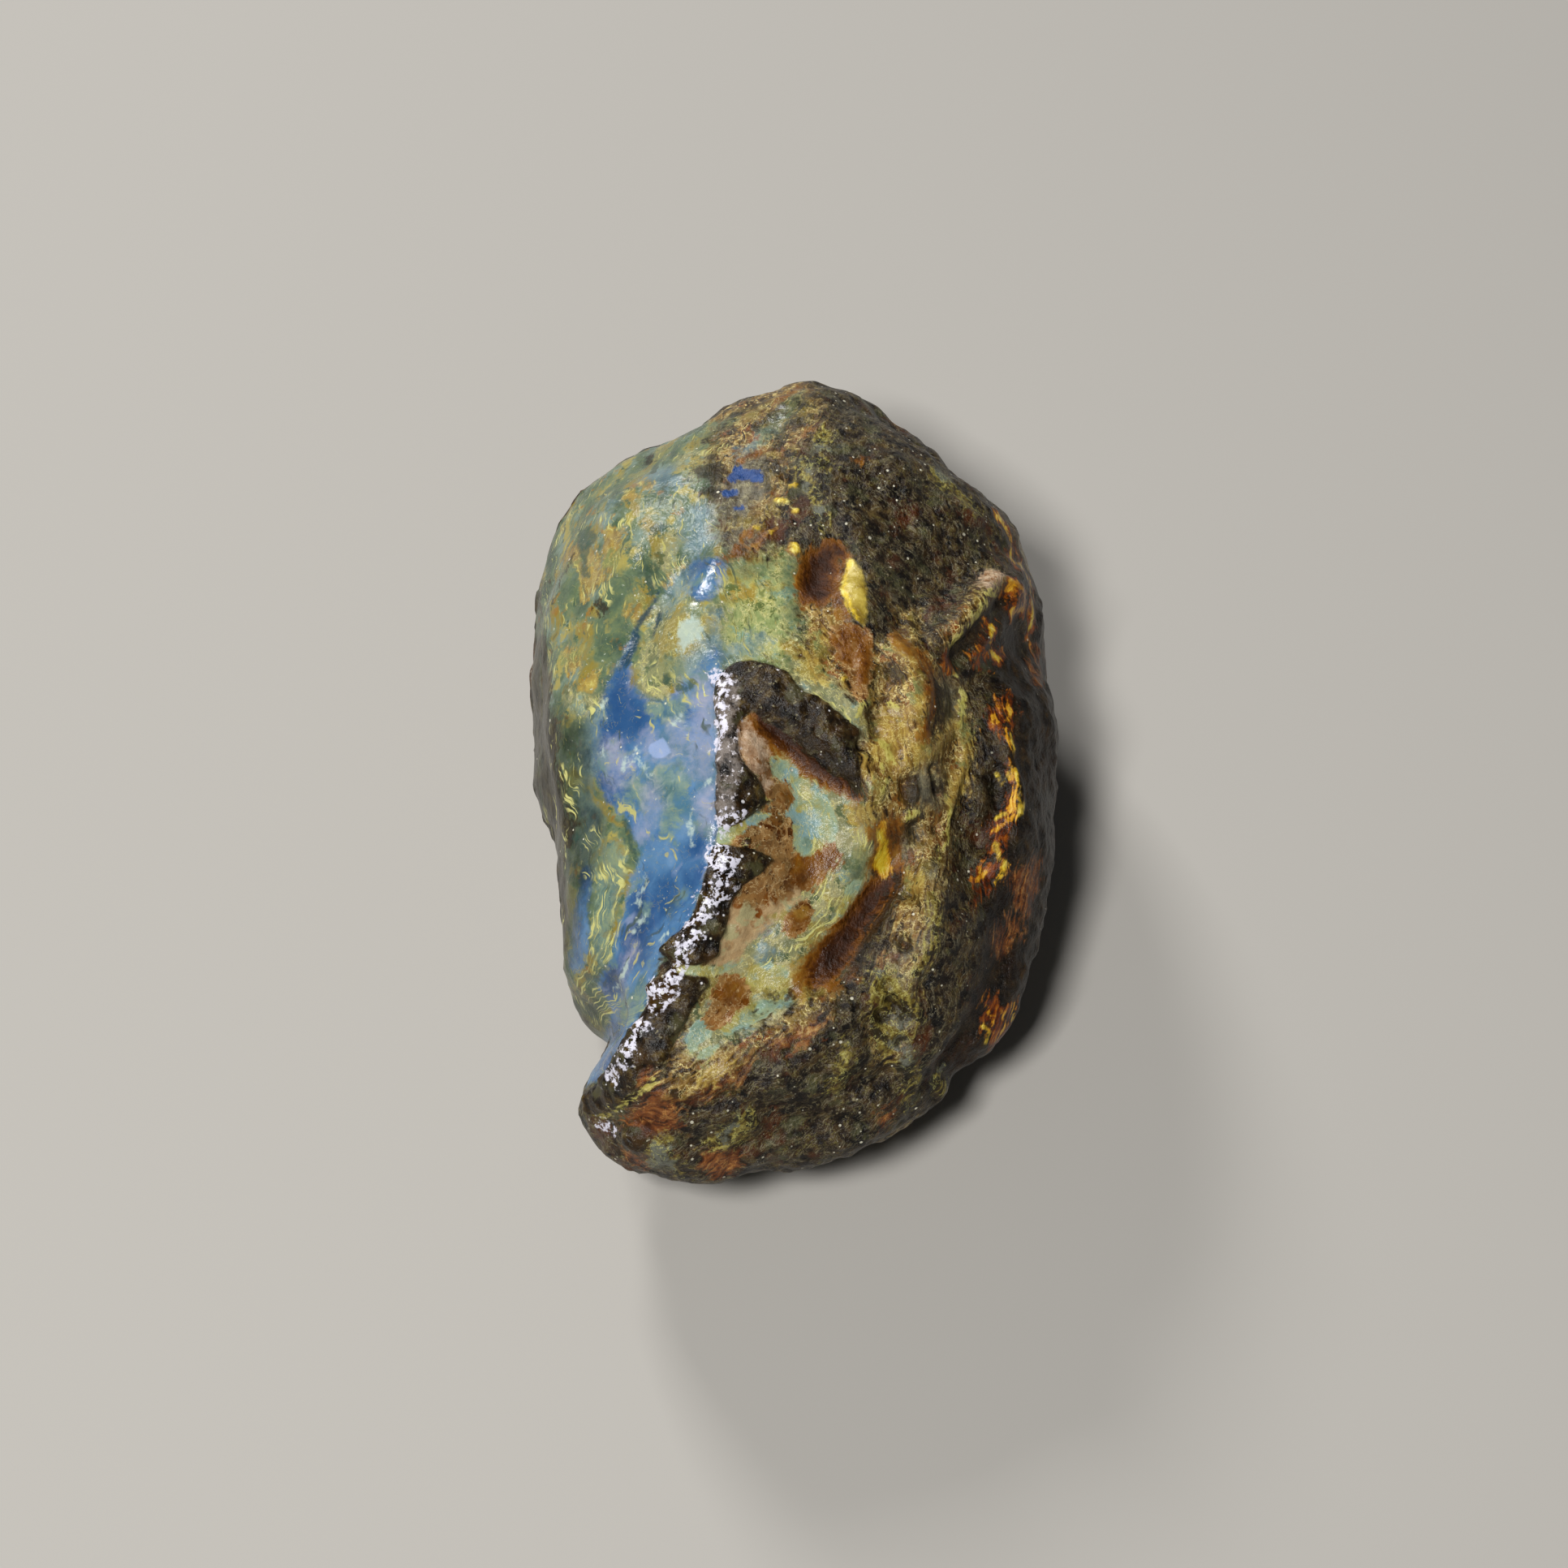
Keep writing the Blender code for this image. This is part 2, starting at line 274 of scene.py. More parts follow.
def streak(matter, width, *paths):
    """Lays streaks of a matter, each along a path of spots, this many millimetres wide."""
    for path in paths:
        line, on_nugget = lay(path if len(path) > 1 else path * 2)
        reached = near(line)
        mark(matter, reached, width / 2 - distance_to(points[reached], on_nugget))


def work(height, radius, *paths):
    """Raises a rounded rib (or carves a groove) along each path of spots, in millimetres."""
    for path in paths:
        line, on_nugget = lay(path if len(path) > 1 else path * 2)
        reached = near(line)
        share = np.clip(1 - (distance_to(points[reached], on_nugget) / radius) ** 2, 0.0, 1.0)
        rise[reached] += height * share**2


DOME = [
    (872, 512), (845, 525), (815, 538), (785, 550), (755, 560), (720, 585), (690, 615), (668, 652),
    (650, 690), (640, 730), (636, 800), (636, 880), (644, 960), (660, 1010), (680, 1020), (684, 1070),
    (682, 1130), (680, 1190), (690, 1240), (708, 1262), (738, 1290), (722, 1325), (740, 1330), (765, 1294),
    (788, 1253), (803, 1218), (813, 1174), (839, 1150), (855, 1130), (870, 1086), (878, 1048), (886, 1020),
    (884, 980), (886, 900), (886, 850), (904, 824), (936, 816), (954, 792), (958, 752), (946, 716),
    (908, 692), (892, 674), (878, 652), (890, 632), (876, 612), (882, 594), (866, 570), (870, 550),
    (862, 530),
]
patch("teal", DOME)

DOME_HAZE = [
    [(848, 634), (858, 622), (872, 616), (886, 630), (874, 648), (884, 664), (868, 674), (860, 690),
     (844, 684), (838, 668), (846, 650)],
    [(788, 588), (806, 578), (828, 574), (840, 588), (836, 600), (818, 603), (800, 598)],
    [(736, 640), (748, 622), (756, 616), (752, 632), (742, 648)],
    [(836, 812), (850, 800), (866, 786), (884, 776), (886, 800), (870, 816), (852, 834), (838, 838),
     (832, 826)],
    [(818, 745), (822, 712), (836, 704), (850, 704), (852, 724), (836, 736), (826, 756)],
    [(745, 880), (728, 880), (716, 905), (712, 945), (722, 970), (740, 945), (736, 910)],
    [(706, 990), (716, 975), (730, 980), (736, 1010), (728, 1040), (712, 1046), (704, 1020)],
]
patch("haze", *DOME_HAZE)
BROW_BEAD = [
    (850, 696), (866, 689), (890, 688), (898, 702), (890, 722), (880, 738), (862, 742), (850, 732),
    (847, 712),
]
patch("blue", BROW_BEAD)
BEAD_SHADE = [(848, 700), (862, 690), (892, 690), (896, 700), (876, 702), (858, 706), (850, 716)]
patch("deep", BEAD_SHADE)
BEAD_BOWL = [(868, 722)]
work(-0.2, 2.0, BEAD_BOWL)
BEAD_SHINE = [(866, 718), (870, 728)]
streak("bead", 3.0, BEAD_SHINE)
BROW_PALE = [
    (836, 803), (834, 788), (837, 774), (844, 765), (854, 762), (864, 767), (868, 776), (862, 784),
    (854, 790), (848, 797), (841, 808),
]
patch("mist_and_glare", BROW_PALE)

DOME_MOSS = [
    [(752, 708), (768, 702), (784, 712), (788, 735), (780, 762), (768, 784), (750, 780), (744, 762),
     (748, 735)],
    [(690, 700), (704, 692), (716, 706), (714, 728), (702, 738), (690, 724)],
    [(738, 716), (750, 710), (754, 722), (746, 732), (738, 728)],
    [(800, 556), (826, 552), (838, 560), (826, 572), (806, 572), (796, 566)],
    [(770, 580), (790, 572), (800, 580), (784, 592), (770, 592)],
    [(728, 798), (742, 790), (756, 800), (754, 820), (738, 832), (728, 818)],
    [(700, 1002), (708, 990), (716, 1000), (718, 1030), (708, 1052), (700, 1040)],
    [(806, 812), (830, 806), (842, 818), (828, 836), (810, 842), (798, 830)],
    [(846, 742), (858, 742), (866, 752), (856, 760), (844, 754)],
]
patch("moss", *DOME_MOSS)
DOME_OLIVE = [
    [(834, 562), (855, 556), (872, 562), (868, 584), (850, 594), (836, 582)],
    [(820, 660), (834, 652), (838, 672), (832, 696), (816, 706), (808, 690)],
    [(806, 742), (818, 752), (830, 770), (832, 796), (816, 806), (800, 798), (798, 770)],
    [(700, 846), (722, 852), (742, 850), (740, 876), (722, 886), (704, 876), (694, 860)],
]
patch("khaki", *DOME_OLIVE)

DOME_GOLD = [
    [(745, 658), (757, 649), (769, 651), (766, 668), (762, 690), (757, 708), (750, 712), (743, 704),
     (741, 688)],
    [(726, 674), (735, 669), (741, 682), (742, 700), (748, 713), (740, 722), (732, 732), (722, 739),
     (713, 738), (714, 722), (718, 700)],
    [(688, 692), (698, 680), (712, 670), (722, 684), (718, 702), (706, 692), (696, 696)],
    [(700, 794), (712, 800), (716, 815), (708, 828), (694, 824), (690, 808)],
    [(706, 842), (722, 838), (731, 822), (737, 834), (728, 850), (712, 850)],
    [(793, 600), (796, 591), (806, 594), (804, 603)], [(772, 612), (784, 607), (788, 613), (776, 618)],
    [(776, 742), (786, 728), (797, 735), (797, 755), (788, 768), (776, 764), (771, 754)],
    [(812, 716), (826, 702), (842, 692), (846, 696), (830, 708), (818, 724)],
]
patch("gold", *DOME_GOLD)
DOME_OCHRE = [
    [(671, 705), (680, 690), (690, 700), (684, 722), (690, 745), (686, 770), (690, 795), (684, 806),
     (675, 792), (671, 760)],
    [(700, 742), (716, 738), (722, 750), (712, 760), (700, 757)],
    [(684, 858), (694, 856), (698, 876), (690, 884), (683, 876)],
    [(716, 798), (724, 792), (730, 802), (724, 814)], [(690, 816), (702, 822), (700, 840), (688, 842)],
    [(775, 680), (788, 672), (800, 684), (798, 706), (784, 712), (774, 700)],
]
patch("tan", *DOME_OCHRE)
DOME_SOOT = [
    [(850, 584), (866, 577), (884, 574), (896, 580), (892, 594), (878, 598), (860, 592)],
    [(862, 606), (876, 600), (890, 604), (886, 616), (872, 616)],
    [(866, 566), (882, 560), (890, 566), (876, 572)], [(790, 566), (802, 560), (806, 568), (794, 572)],
    [(734, 742), (744, 742), (748, 752), (740, 758), (732, 752)],
]
patch("soot_and_shade", *DOME_SOOT)
DOME_PINE = [
    [(714, 654), (728, 650), (734, 660), (732, 672), (725, 678), (722, 700), (726, 712), (719, 712),
     (716, 690), (711, 668)],
    [(803, 650), (814, 644), (824, 648), (820, 655), (808, 655)],
]
patch("pine", *DOME_PINE)
DOME_SPOTS = [
    [(760, 792)], [(712, 1028), (711, 1034)], [(722, 1204), (736, 1206)], [(820, 838)],
    [(836, 850), (850, 846)],
]
streak("pine", 0.6, *DOME_SPOTS)

YELLOW_STREAKS = [
    [(860, 522), (882, 513)], [(672, 725), (671, 750), (674, 770)], [(715, 620), (700, 640), (686, 668)],
    [(750, 740), (752, 715), (758, 692)], [(712, 740), (724, 730), (735, 726)],
    [(812, 714), (830, 700), (845, 688)], [(679, 900), (681, 920), (678, 940)],
    [(694, 950), (698, 970), (700, 986), (708, 1000)], [(711, 938), (712, 955), (712, 976)],
    [(683, 972), (684, 1000), (686, 1012)], [(664, 1002), (668, 1016), (676, 1032)],
    [(697, 1026), (697, 1046), (696, 1066)], [(723, 1034), (722, 1054), (726, 1076)],
    [(730, 1026), (736, 1040), (733, 1055), (729, 1066)],
    [(764, 1066), (763, 1085), (764, 1102), (761, 1120), (759, 1140), (752, 1165), (744, 1180)],
    [(740, 1084), (750, 1068), (756, 1082)], [(746, 1104), (740, 1124), (732, 1150), (729, 1168)],
    [(728, 1168), (724, 1190), (716, 1215), (722, 1232)],
    [(735, 1180), (728, 1205), (734, 1225), (742, 1245)],
    [(704, 1225), (716, 1236), (728, 1250), (736, 1262)],
    [(714, 1215), (728, 1228), (738, 1240), (744, 1256)], [(744, 1222), (748, 1240), (742, 1256)],
    [(776, 1050), (778, 1066)], [(742, 640), (760, 646), (774, 642)],
    [(695, 1110), (694, 1130), (690, 1160)], [(760, 1230), (752, 1244), (746, 1256)],
    [(676, 800), (678, 820), (684, 832)], [(738, 862), (728, 880), (716, 890)],
    [(790, 846), (804, 834), (806, 822)], [(796, 852), (810, 848)], [(866, 852), (858, 870)],
    [(830, 880), (838, 870)], [(718, 648), (708, 664)], [(740, 740), (744, 724)],
]
streak("fleck", 0.9, *YELLOW_STREAKS)

LEFT_BARK = [
    [(630, 780), (666, 780), (674, 810), (680, 850), (678, 880), (686, 910), (690, 950), (700, 990),
     (710, 1020), (696, 1044), (640, 1000)],
    [(640, 690), (664, 660), (672, 676), (668, 710), (664, 750), (640, 760)],
    [(676, 1020), (694, 1050), (698, 1100), (698, 1150), (692, 1190), (700, 1225), (716, 1250), (734, 1270),
     (720, 1290), (680, 1250)],
]
patch("shade", *LEFT_BARK)
LEFT_MURK = [
    [(640, 860), (680, 872), (706, 884), (726, 896), (730, 940), (736, 985), (748, 1012), (738, 1060),
     (722, 1100), (710, 1150), (702, 1200), (694, 1240), (668, 1100), (636, 980)],
    [(690, 1230), (712, 1215), (736, 1236), (748, 1262), (736, 1296), (716, 1300)],
]
patch("murk", *LEFT_MURK)

CRACK = [(812, 730), (800, 750), (787, 770), (783, 785), (778, 805), (765, 825)]
CRACK_BESIDE = [(812, 755), (808, 770), (803, 785)]
work(-0.06, 0.6, CRACK, CRACK_BESIDE)
streak("ink", 0.3, CRACK, CRACK_BESIDE)
CRACK_FOOT = [(784, 780), (780, 800), (770, 818)]
streak("ink", 0.5, CRACK_FOOT)

# ---------------------------------------------------------------------------------------------------------
# The blue face: the resin of this kind glows blue where light falls on it. It ran down here in a shallow
# valley, so the blue is drawn out in long streaks, with paler flows, grey drops and one deep blue drop. On
# it lie painted glare streaks and a painted reflection of a window.
BLUE_FACE = [
    (783, 777), (781, 800), (777, 822), (781, 842), (796, 858), (818, 862), (830, 848), (846, 830),
    (860, 812), (876, 797), (892, 788), (890, 806), (888, 850), (885, 900), (886, 980), (888, 1020),
    (878, 1050), (869, 1088), (855, 1130), (838, 1152), (813, 1176), (803, 1218), (788, 1253), (765, 1294),
    (744, 1322), (724, 1338), (733, 1305), (742, 1280), (752, 1250), (748, 1232), (736, 1215), (742, 1198),
    (752, 1175), (762, 1140), (768, 1110), (776, 1080), (784, 1055), (780, 1030), (768, 1005), (745, 985),
    (732, 960), (728, 925), (730, 890), (737, 868), (745, 850), (754, 834), (765, 816), (774, 797),
]
BLUE_STRAND = [
    (722, 1055), (716, 1085), (708, 1115), (703, 1150), (699, 1185), (708, 1200), (722, 1182), (728, 1150),
    (724, 1120), (728, 1085),
]
patch("blue", BLUE_FACE, BLUE_STRAND)

# The first two patches are a painted reflection of a window; the rest are paler lilac flows.
BLUE_PALE_AND_REFLECTIONS = [
    [(790, 905), (812, 902), (820, 912), (838, 925), (828, 932), (805, 934), (792, 924)],
    [(822, 890), (838, 884), (848, 900), (846, 920), (834, 930), (824, 915)],
    [(856, 842), (868, 836), (884, 838), (884, 900), (882, 950), (868, 962), (852, 950), (846, 925),
     (850, 890)],
    [(862, 975), (874, 965), (884, 972), (884, 1010), (874, 1022), (862, 1012), (856, 992)],
    [(796, 965), (812, 972), (818, 990), (808, 1012), (800, 1035), (788, 1030), (790, 1000)],
    [(744, 920), (758, 912), (772, 930), (776, 960), (762, 972), (746, 958)],
    [(784, 1170), (776, 1190), (768, 1215), (760, 1210), (768, 1185), (776, 1160)],
]
patch("lilac_and_reflection", *BLUE_PALE_AND_REFLECTIONS)
# A painted reflection of a window on the blue face.
BLUE_WINDOW_REFLECTION = [(797, 924), (800, 916), (808, 913), (818, 909), (824, 920), (828, 927), (815, 934), (804, 932)]
patch("painted_reflection", BLUE_WINDOW_REFLECTION)
BLUE_GREY = [
    [(800, 866), (822, 864), (838, 852), (852, 860), (846, 884), (830, 896), (812, 892), (800, 880)],
    [(768, 962), (784, 956), (800, 972), (796, 1000), (782, 996), (770, 984)],
]
patch("verdigris", *BLUE_GREY)
BLUE_GREEN = [
    [(800, 955), (815, 945), (835, 950), (850, 965), (840, 985), (822, 990), (806, 978)],
    [(815, 1000), (828, 992), (840, 1000), (832, 1020), (820, 1030)],
    [(740, 1045), (755, 1035), (766, 1058), (768, 1090), (760, 1125), (750, 1155), (744, 1190), (733, 1180),
     (730, 1150), (736, 1110), (736, 1070)],
    [(764, 1232), (776, 1222), (790, 1226), (792, 1246), (780, 1256), (766, 1262), (760, 1252)],
]
patch("verdigris", *BLUE_GREEN)
BLUE_RING = [(832, 944), (842, 938), (854, 942), (856, 952), (846, 958), (834, 956), (832, 944)]
streak("haze", 0.22, BLUE_RING)
BLUE_DEEP = [
    [(766, 818), (776, 830), (786, 852), (800, 878), (794, 904), (776, 916), (746, 908), (731, 894),
     (738, 866), (752, 840)],
    [(812, 1085), (824, 1080), (834, 1092), (834, 1118), (824, 1132), (812, 1124), (808, 1104)],
    [(776, 1150), (790, 1140), (800, 1160), (790, 1185), (776, 1190), (770, 1170)],
    [(846, 1080), (856, 1086), (852, 1096), (842, 1092)],
    [(852, 1030), (866, 1024), (872, 1040), (860, 1052), (850, 1044)],
]
patch("deep", *BLUE_DEEP)
BLUE_FIBRE = [(770, 1012), (776, 1034), (784, 1060)]
streak("pine", 0.45, BLUE_FIBRE)
# Painted glare: thin pale streaks on the blue face where it catches the light.
BLUE_GLARE_STREAKS = [
    [(850, 1002), (850, 1020), (852, 1038)], [(772, 1190), (764, 1206), (758, 1220)],
    [(794, 1075), (790, 1095), (784, 1110)], [(783, 921), (788, 936), (794, 946), (798, 958)],
    [(770, 936), (768, 950)], [(744, 926), (746, 934)], [(782, 1148), (792, 1134), (798, 1128)],
    [(742, 868), (745, 862)], [(832, 892), (838, 882)], [(812, 1160), (818, 1152)],
    [(864, 968), (874, 962)],
]
streak("mist_and_glare", 0.16, *BLUE_GLARE_STREAKS)
BLUE_RUSTY = [
    [(794, 988), (790, 1010), (786, 1035)], [(800, 1000), (799, 1020)],
    [(783, 925), (790, 905), (796, 900)],
]
streak("lilac_and_reflection", 0.25, *BLUE_RUSTY)
BLUE_FLUTES = [
    [(800, 900), (790, 960), (786, 1010), (792, 1060), (780, 1120), (766, 1180), (756, 1230)],
    [(862, 880), (856, 940), (850, 1000), (840, 1060), (826, 1110), (806, 1160)],
    [(716, 1080), (708, 1140), (704, 1190)],
]
work(-0.08, 1.6, *BLUE_FLUTES)
BLUE_SWELLS = [
    [(835, 900), (828, 960), (818, 1010), (806, 1080), (790, 1140), (778, 1200), (766, 1260)],
    [(752, 930), (756, 970)], [(746, 1070), (744, 1120), (738, 1170)],
]
work(0.08, 1.8, *BLUE_SWELLS)

# ---------------------------------------------------------------------------------------------------------
# The far top: a thin tan and olive skin on the bark, drawn out in slanting streaks as the resin ran. It
# holds two deep blue drops and amber beads, and a branching olive vein runs down from it to the pit.
TOP_SKIN = [
    (872, 512), (905, 500), (930, 490), (955, 478), (988, 475), (1010, 492), (1005, 520), (985, 548),
    (968, 575), (965, 600), (958, 625), (948, 645), (928, 662), (902, 668), (890, 650), (886, 620),
    (880, 590), (868, 560), (862, 532),
]
patch("tan", TOP_SKIN)
TOP_GREEN = [
    [(950, 508), (962, 496), (980, 484), (992, 482), (988, 500), (968, 520), (948, 542), (930, 548),
     (938, 525)],
    [(858, 536), (880, 524), (900, 512), (914, 508), (900, 524), (878, 540), (862, 550)],
]
patch("moss", *TOP_GREEN)
TOP_HAZE = [[(904, 562), (922, 546), (942, 530), (952, 526), (944, 540), (926, 556), (910, 568)]]
patch("haze", *TOP_HAZE)
TOP_GREY = [
    [(885, 590), (900, 572), (920, 560), (946, 560), (956, 576), (950, 600), (938, 620), (920, 640),
     (896, 650), (878, 640), (876, 618)],
    [(905, 680), (890, 668), (900, 652), (925, 645), (940, 655), (925, 672)],
]
patch("grey", *TOP_GREY)
TOP_DARK = [
    [(905, 512), (925, 500), (944, 492)], [(930, 524), (950, 510), (968, 500)],
    [(958, 548), (975, 532), (990, 515)], [(938, 590), (950, 574), (962, 560)], [(985, 502), (1000, 486)],
    [(872, 540), (888, 530)],
]
streak("shade", 0.8, *TOP_DARK)
TOP_DROPS = [
    [(897, 594), (901, 584), (905, 576), (912, 574), (920, 577), (928, 579), (937, 577), (940, 586),
     (937, 595), (929, 595), (922, 590), (914, 592), (906, 596)],
    [(889, 608), (896, 603), (908, 604), (904, 611), (894, 613)],
    [(902, 624), (912, 621), (918, 624), (908, 628)],
]
patch("sapphire", *TOP_DROPS)
TOP_STREAKS = [
    [(955, 495), (972, 484), (990, 477)], [(990, 535), (1000, 530)], [(1058, 566), (1066, 562)],
    [(906, 684), (914, 668), (926, 652)], [(932, 672), (940, 660), (948, 652)], [(976, 672), (980, 680)],
    [(915, 566), (940, 552)], [(890, 690), (912, 680), (922, 690)],
]
streak("honey", 0.5, *TOP_STREAKS)
OLIVE_VEIN = [
    [(1008, 532), (1020, 530), (1027, 536), (1020, 544), (1022, 560), (1025, 576), (1014, 579), (1004, 572),
     (999, 562), (1004, 548)],
    [(981, 566), (990, 562), (999, 570), (1003, 584), (1009, 600), (1007, 615), (1000, 613), (991, 600),
     (983, 588)],
    [(1005, 615), (1014, 617), (1021, 630), (1022, 646), (1014, 651), (1008, 640), (1003, 628)],
]
patch("lace", *OLIVE_VEIN)
# Amber beads, brightened into a painted glow.
AMBER_BEADS = [
    [(958, 616), (966, 618)], [(974, 600), (980, 598)], [(980, 631)], [(1040, 838)], [(932, 650)],
    [(948, 655)], [(978, 672), (980, 678)],
]
streak("painted_glow", 0.35, *AMBER_BEADS)
work(0.2, 0.7, *AMBER_BEADS)

# ---------------------------------------------------------------------------------------------------------
# The saddle above the hook: bright yellow-green resin on the left, turning to golden ochre on the right,
# with teal drops in it and rust-red scales where it meets the pit.
GREEN_SADDLE = [
    (900, 702), (918, 688), (945, 685), (968, 680), (980, 694), (976, 712), (984, 728), (974, 748),
    (982, 766), (976, 784), (988, 798), (980, 816), (976, 832), (960, 822), (945, 816), (920, 813),
    (905, 812), (890, 800), (880, 786), (874, 766), (884, 748), (892, 722),
]
patch("olive", GREEN_SADDLE)
SADDLE_LEFT = [
    (890, 742), (896, 770), (884, 790), (864, 806), (848, 826), (834, 844), (818, 858), (798, 856),
    (786, 838), (788, 812), (796, 788), (806, 762), (818, 742), (838, 734), (852, 748), (868, 746),
]
patch("khaki", SADDLE_LEFT)
SADDLE_DROPS = [
    [(966, 695), (976, 690), (986, 700), (985, 722), (974, 732), (965, 718)],
    [(968, 742), (980, 738), (986, 750), (984, 766), (972, 768), (966, 756)],
    [(926, 797), (932, 788), (942, 797), (936, 803)],
    [(906, 700), (925, 692), (945, 690), (952, 702), (930, 714), (908, 716)],
]
patch("moss", *SADDLE_DROPS)
SADDLE_HAZE = [
    [(884, 802), (905, 796), (925, 786), (935, 780), (948, 788), (940, 800), (920, 806), (900, 814),
     (886, 822)],
    [(890, 752), (884, 770), (890, 790), (882, 800), (876, 785), (880, 755)],
]
patch("haze", *SADDLE_HAZE)
OCHRE_SADDLE = [
    (986, 742), (1000, 735), (1016, 742), (1040, 748), (1050, 772), (1046, 800), (1050, 830), (1046, 858),
    (1022, 862), (1008, 864), (990, 856), (978, 836), (984, 812), (992, 790), (988, 765),
]
patch("tan", OCHRE_SADDLE)
BEYOND_HOOK = [
    (972, 812), (984, 806), (1000, 816), (1016, 830), (1032, 846), (1050, 862), (1064, 882), (1068, 910),
    (1054, 904), (1040, 888), (1022, 874), (1006, 864), (988, 854), (976, 838),
]
patch("khaki", BEYOND_HOOK)
SADDLE_SCALES = [
    (1022, 774), (1040, 766), (1058, 768), (1072, 784), (1076, 815), (1070, 850), (1058, 868), (1044, 842),
    (1034, 816), (1026, 796),
]
patch("rust", SADDLE_SCALES)
# Painted shadows beside the scales.
SCALE_SHADOWS = [
    [(1054, 776), (1064, 796), (1066, 818), (1060, 840)], [(1040, 778), (1046, 800), (1050, 816)],
    [(1034, 790), (1040, 812)],
]
streak("umber_and_shadow", 0.8, *SCALE_SHADOWS)
SADDLE_GOLD = [
    [(1004, 778), (1014, 774), (1020, 786), (1016, 800), (1006, 796)],
    [(1036, 832), (1044, 830), (1046, 842), (1038, 846)],
    [(994, 804), (1006, 806), (1020, 830), (1016, 846), (1000, 830)],
]
patch("gold", *SADDLE_GOLD)
LACE_BY_SADDLE = [
    [(1112, 757), (1125, 752), (1132, 765), (1128, 780), (1134, 792), (1124, 796), (1114, 785),
     (1116, 770)],
]
patch("tan", *LACE_BY_SADDLE)
SADDLE_RIB = [(1120, 760), (1124, 790)]
work(0.25, 0.9, SADDLE_RIB)

# ---------------------------------------------------------------------------------------------------------
# The pit and the lens beside it: a shallow dark hollow with an amber rim, where the resin is clearest, and
# a flat almond of yellow resin that lies open in the bark.
PIT = [
    (984, 712), (986, 694), (996, 680), (1010, 671), (1030, 667), (1046, 676), (1044, 688), (1036, 694),
    (1030, 706), (1030, 724), (1022, 742), (1010, 748), (998, 742), (990, 748), (982, 732),
]
patch("umber_and_shadow", PIT)
PIT_FLOOR = [(1014, 694), (1014, 716)]
work(-0.35, 2.2, PIT_FLOOR)
PIT_AMBER = [
    [(985, 690), (996, 684), (1000, 700), (996, 722), (986, 730), (980, 716)],
    [(1018, 730), (1026, 712), (1034, 692), (1046, 684), (1042, 704), (1038, 724), (1044, 748), (1052, 770),
     (1036, 764)],
]
patch("honey", *PIT_AMBER)
LENS = [
    (1048, 688), (1056, 697), (1064, 710), (1068, 726), (1068, 744), (1067, 758), (1064, 772), (1056, 764),
    (1047, 752), (1040, 738), (1036, 724), (1039, 708), (1043, 696),
]
patch("lens", LENS)
# Painted glow along the lens's edge.
LENS_EDGE = [(1047, 692), (1041, 708), (1040, 726), (1046, 744), (1056, 762)]
streak("painted_glow", 0.3, LENS_EDGE)

# ---------------------------------------------------------------------------------------------------------
# The resin inside and below the hook: clear blue-green windows under a thin rusty skin, parted by pale
# yellow-green flows. The skin is scaly and stands a little proud of the windows.
CENTRE = [
    (936, 900), (960, 905), (1000, 945), (1030, 962), (1060, 985), (1080, 1008), (1082, 1040), (1078, 1080),
    (1058, 1112), (1032, 1150), (1012, 1185), (988, 1228), (950, 1258), (905, 1278), (870, 1300),
    (845, 1300), (850, 1262), (866, 1232), (872, 1204), (838, 1200), (838, 1188), (872, 1190), (895, 1150),
    (900, 1110), (900, 1060), (890, 1044), (884, 1028), (905, 1018), (925, 1004), (937, 985), (925, 950),
]
patch("khaki", CENTRE)
TEAL_WINDOWS = [
    [(948, 925), (968, 936), (990, 950), (1006, 966), (1020, 980), (1026, 1000), (1032, 1018), (1030, 1035),
     (1008, 1050), (991, 1055), (979, 1050), (975, 1022), (968, 1002), (976, 984), (974, 969), (953, 956)],
    [(886, 1020), (910, 1014), (930, 1003), (950, 1001), (936, 1014), (910, 1028), (896, 1042),
     (884, 1040)],
    [(840, 1190), (878, 1190), (904, 1182), (914, 1176), (916, 1184), (900, 1196), (880, 1202),
     (842, 1202)],
    [(884, 1268), (905, 1250), (925, 1236), (950, 1226), (975, 1215), (982, 1226), (962, 1242), (935, 1258),
     (905, 1272), (890, 1274)],
    [(850, 1265), (865, 1256), (878, 1258), (876, 1275), (862, 1288), (850, 1296), (846, 1282)],
    [(858, 1302), (872, 1292), (888, 1286), (884, 1294), (868, 1304)],
    [(922, 1195), (945, 1188), (968, 1192), (975, 1205), (958, 1216), (935, 1218), (922, 1210)],
    [(1048, 1088), (1064, 1086), (1058, 1104), (1044, 1124), (1030, 1142), (1026, 1136), (1040, 1108)],
]
patch("teal_over", *TEAL_WINDOWS)
WINDOW_PALE = [
    [(920, 1136), (930, 1124), (944, 1126), (950, 1140), (940, 1152), (925, 1150)],
    [(934, 1168), (942, 1163), (948, 1170), (942, 1178), (935, 1176)],
    [(884, 1166), (894, 1164), (896, 1176), (886, 1178)],
]
patch("haze", *WINDOW_PALE)
WINDOW_GREEN = [
    [(1046, 1046), (1058, 1042), (1070, 1050), (1074, 1062), (1066, 1078), (1054, 1090), (1044, 1080),
     (1042, 1060)],
]
patch("moss", *WINDOW_GREEN)
WINDOW_GOLD = [
    [(1048, 972), (1066, 985), (1084, 1006), (1080, 1018), (1064, 1026), (1050, 1012), (1044, 990)],
    [(948, 908), (966, 920), (990, 944), (1012, 958), (1026, 966), (1020, 974), (1000, 962), (980, 944),
     (960, 930)],
]
patch("gold", *WINDOW_GOLD)
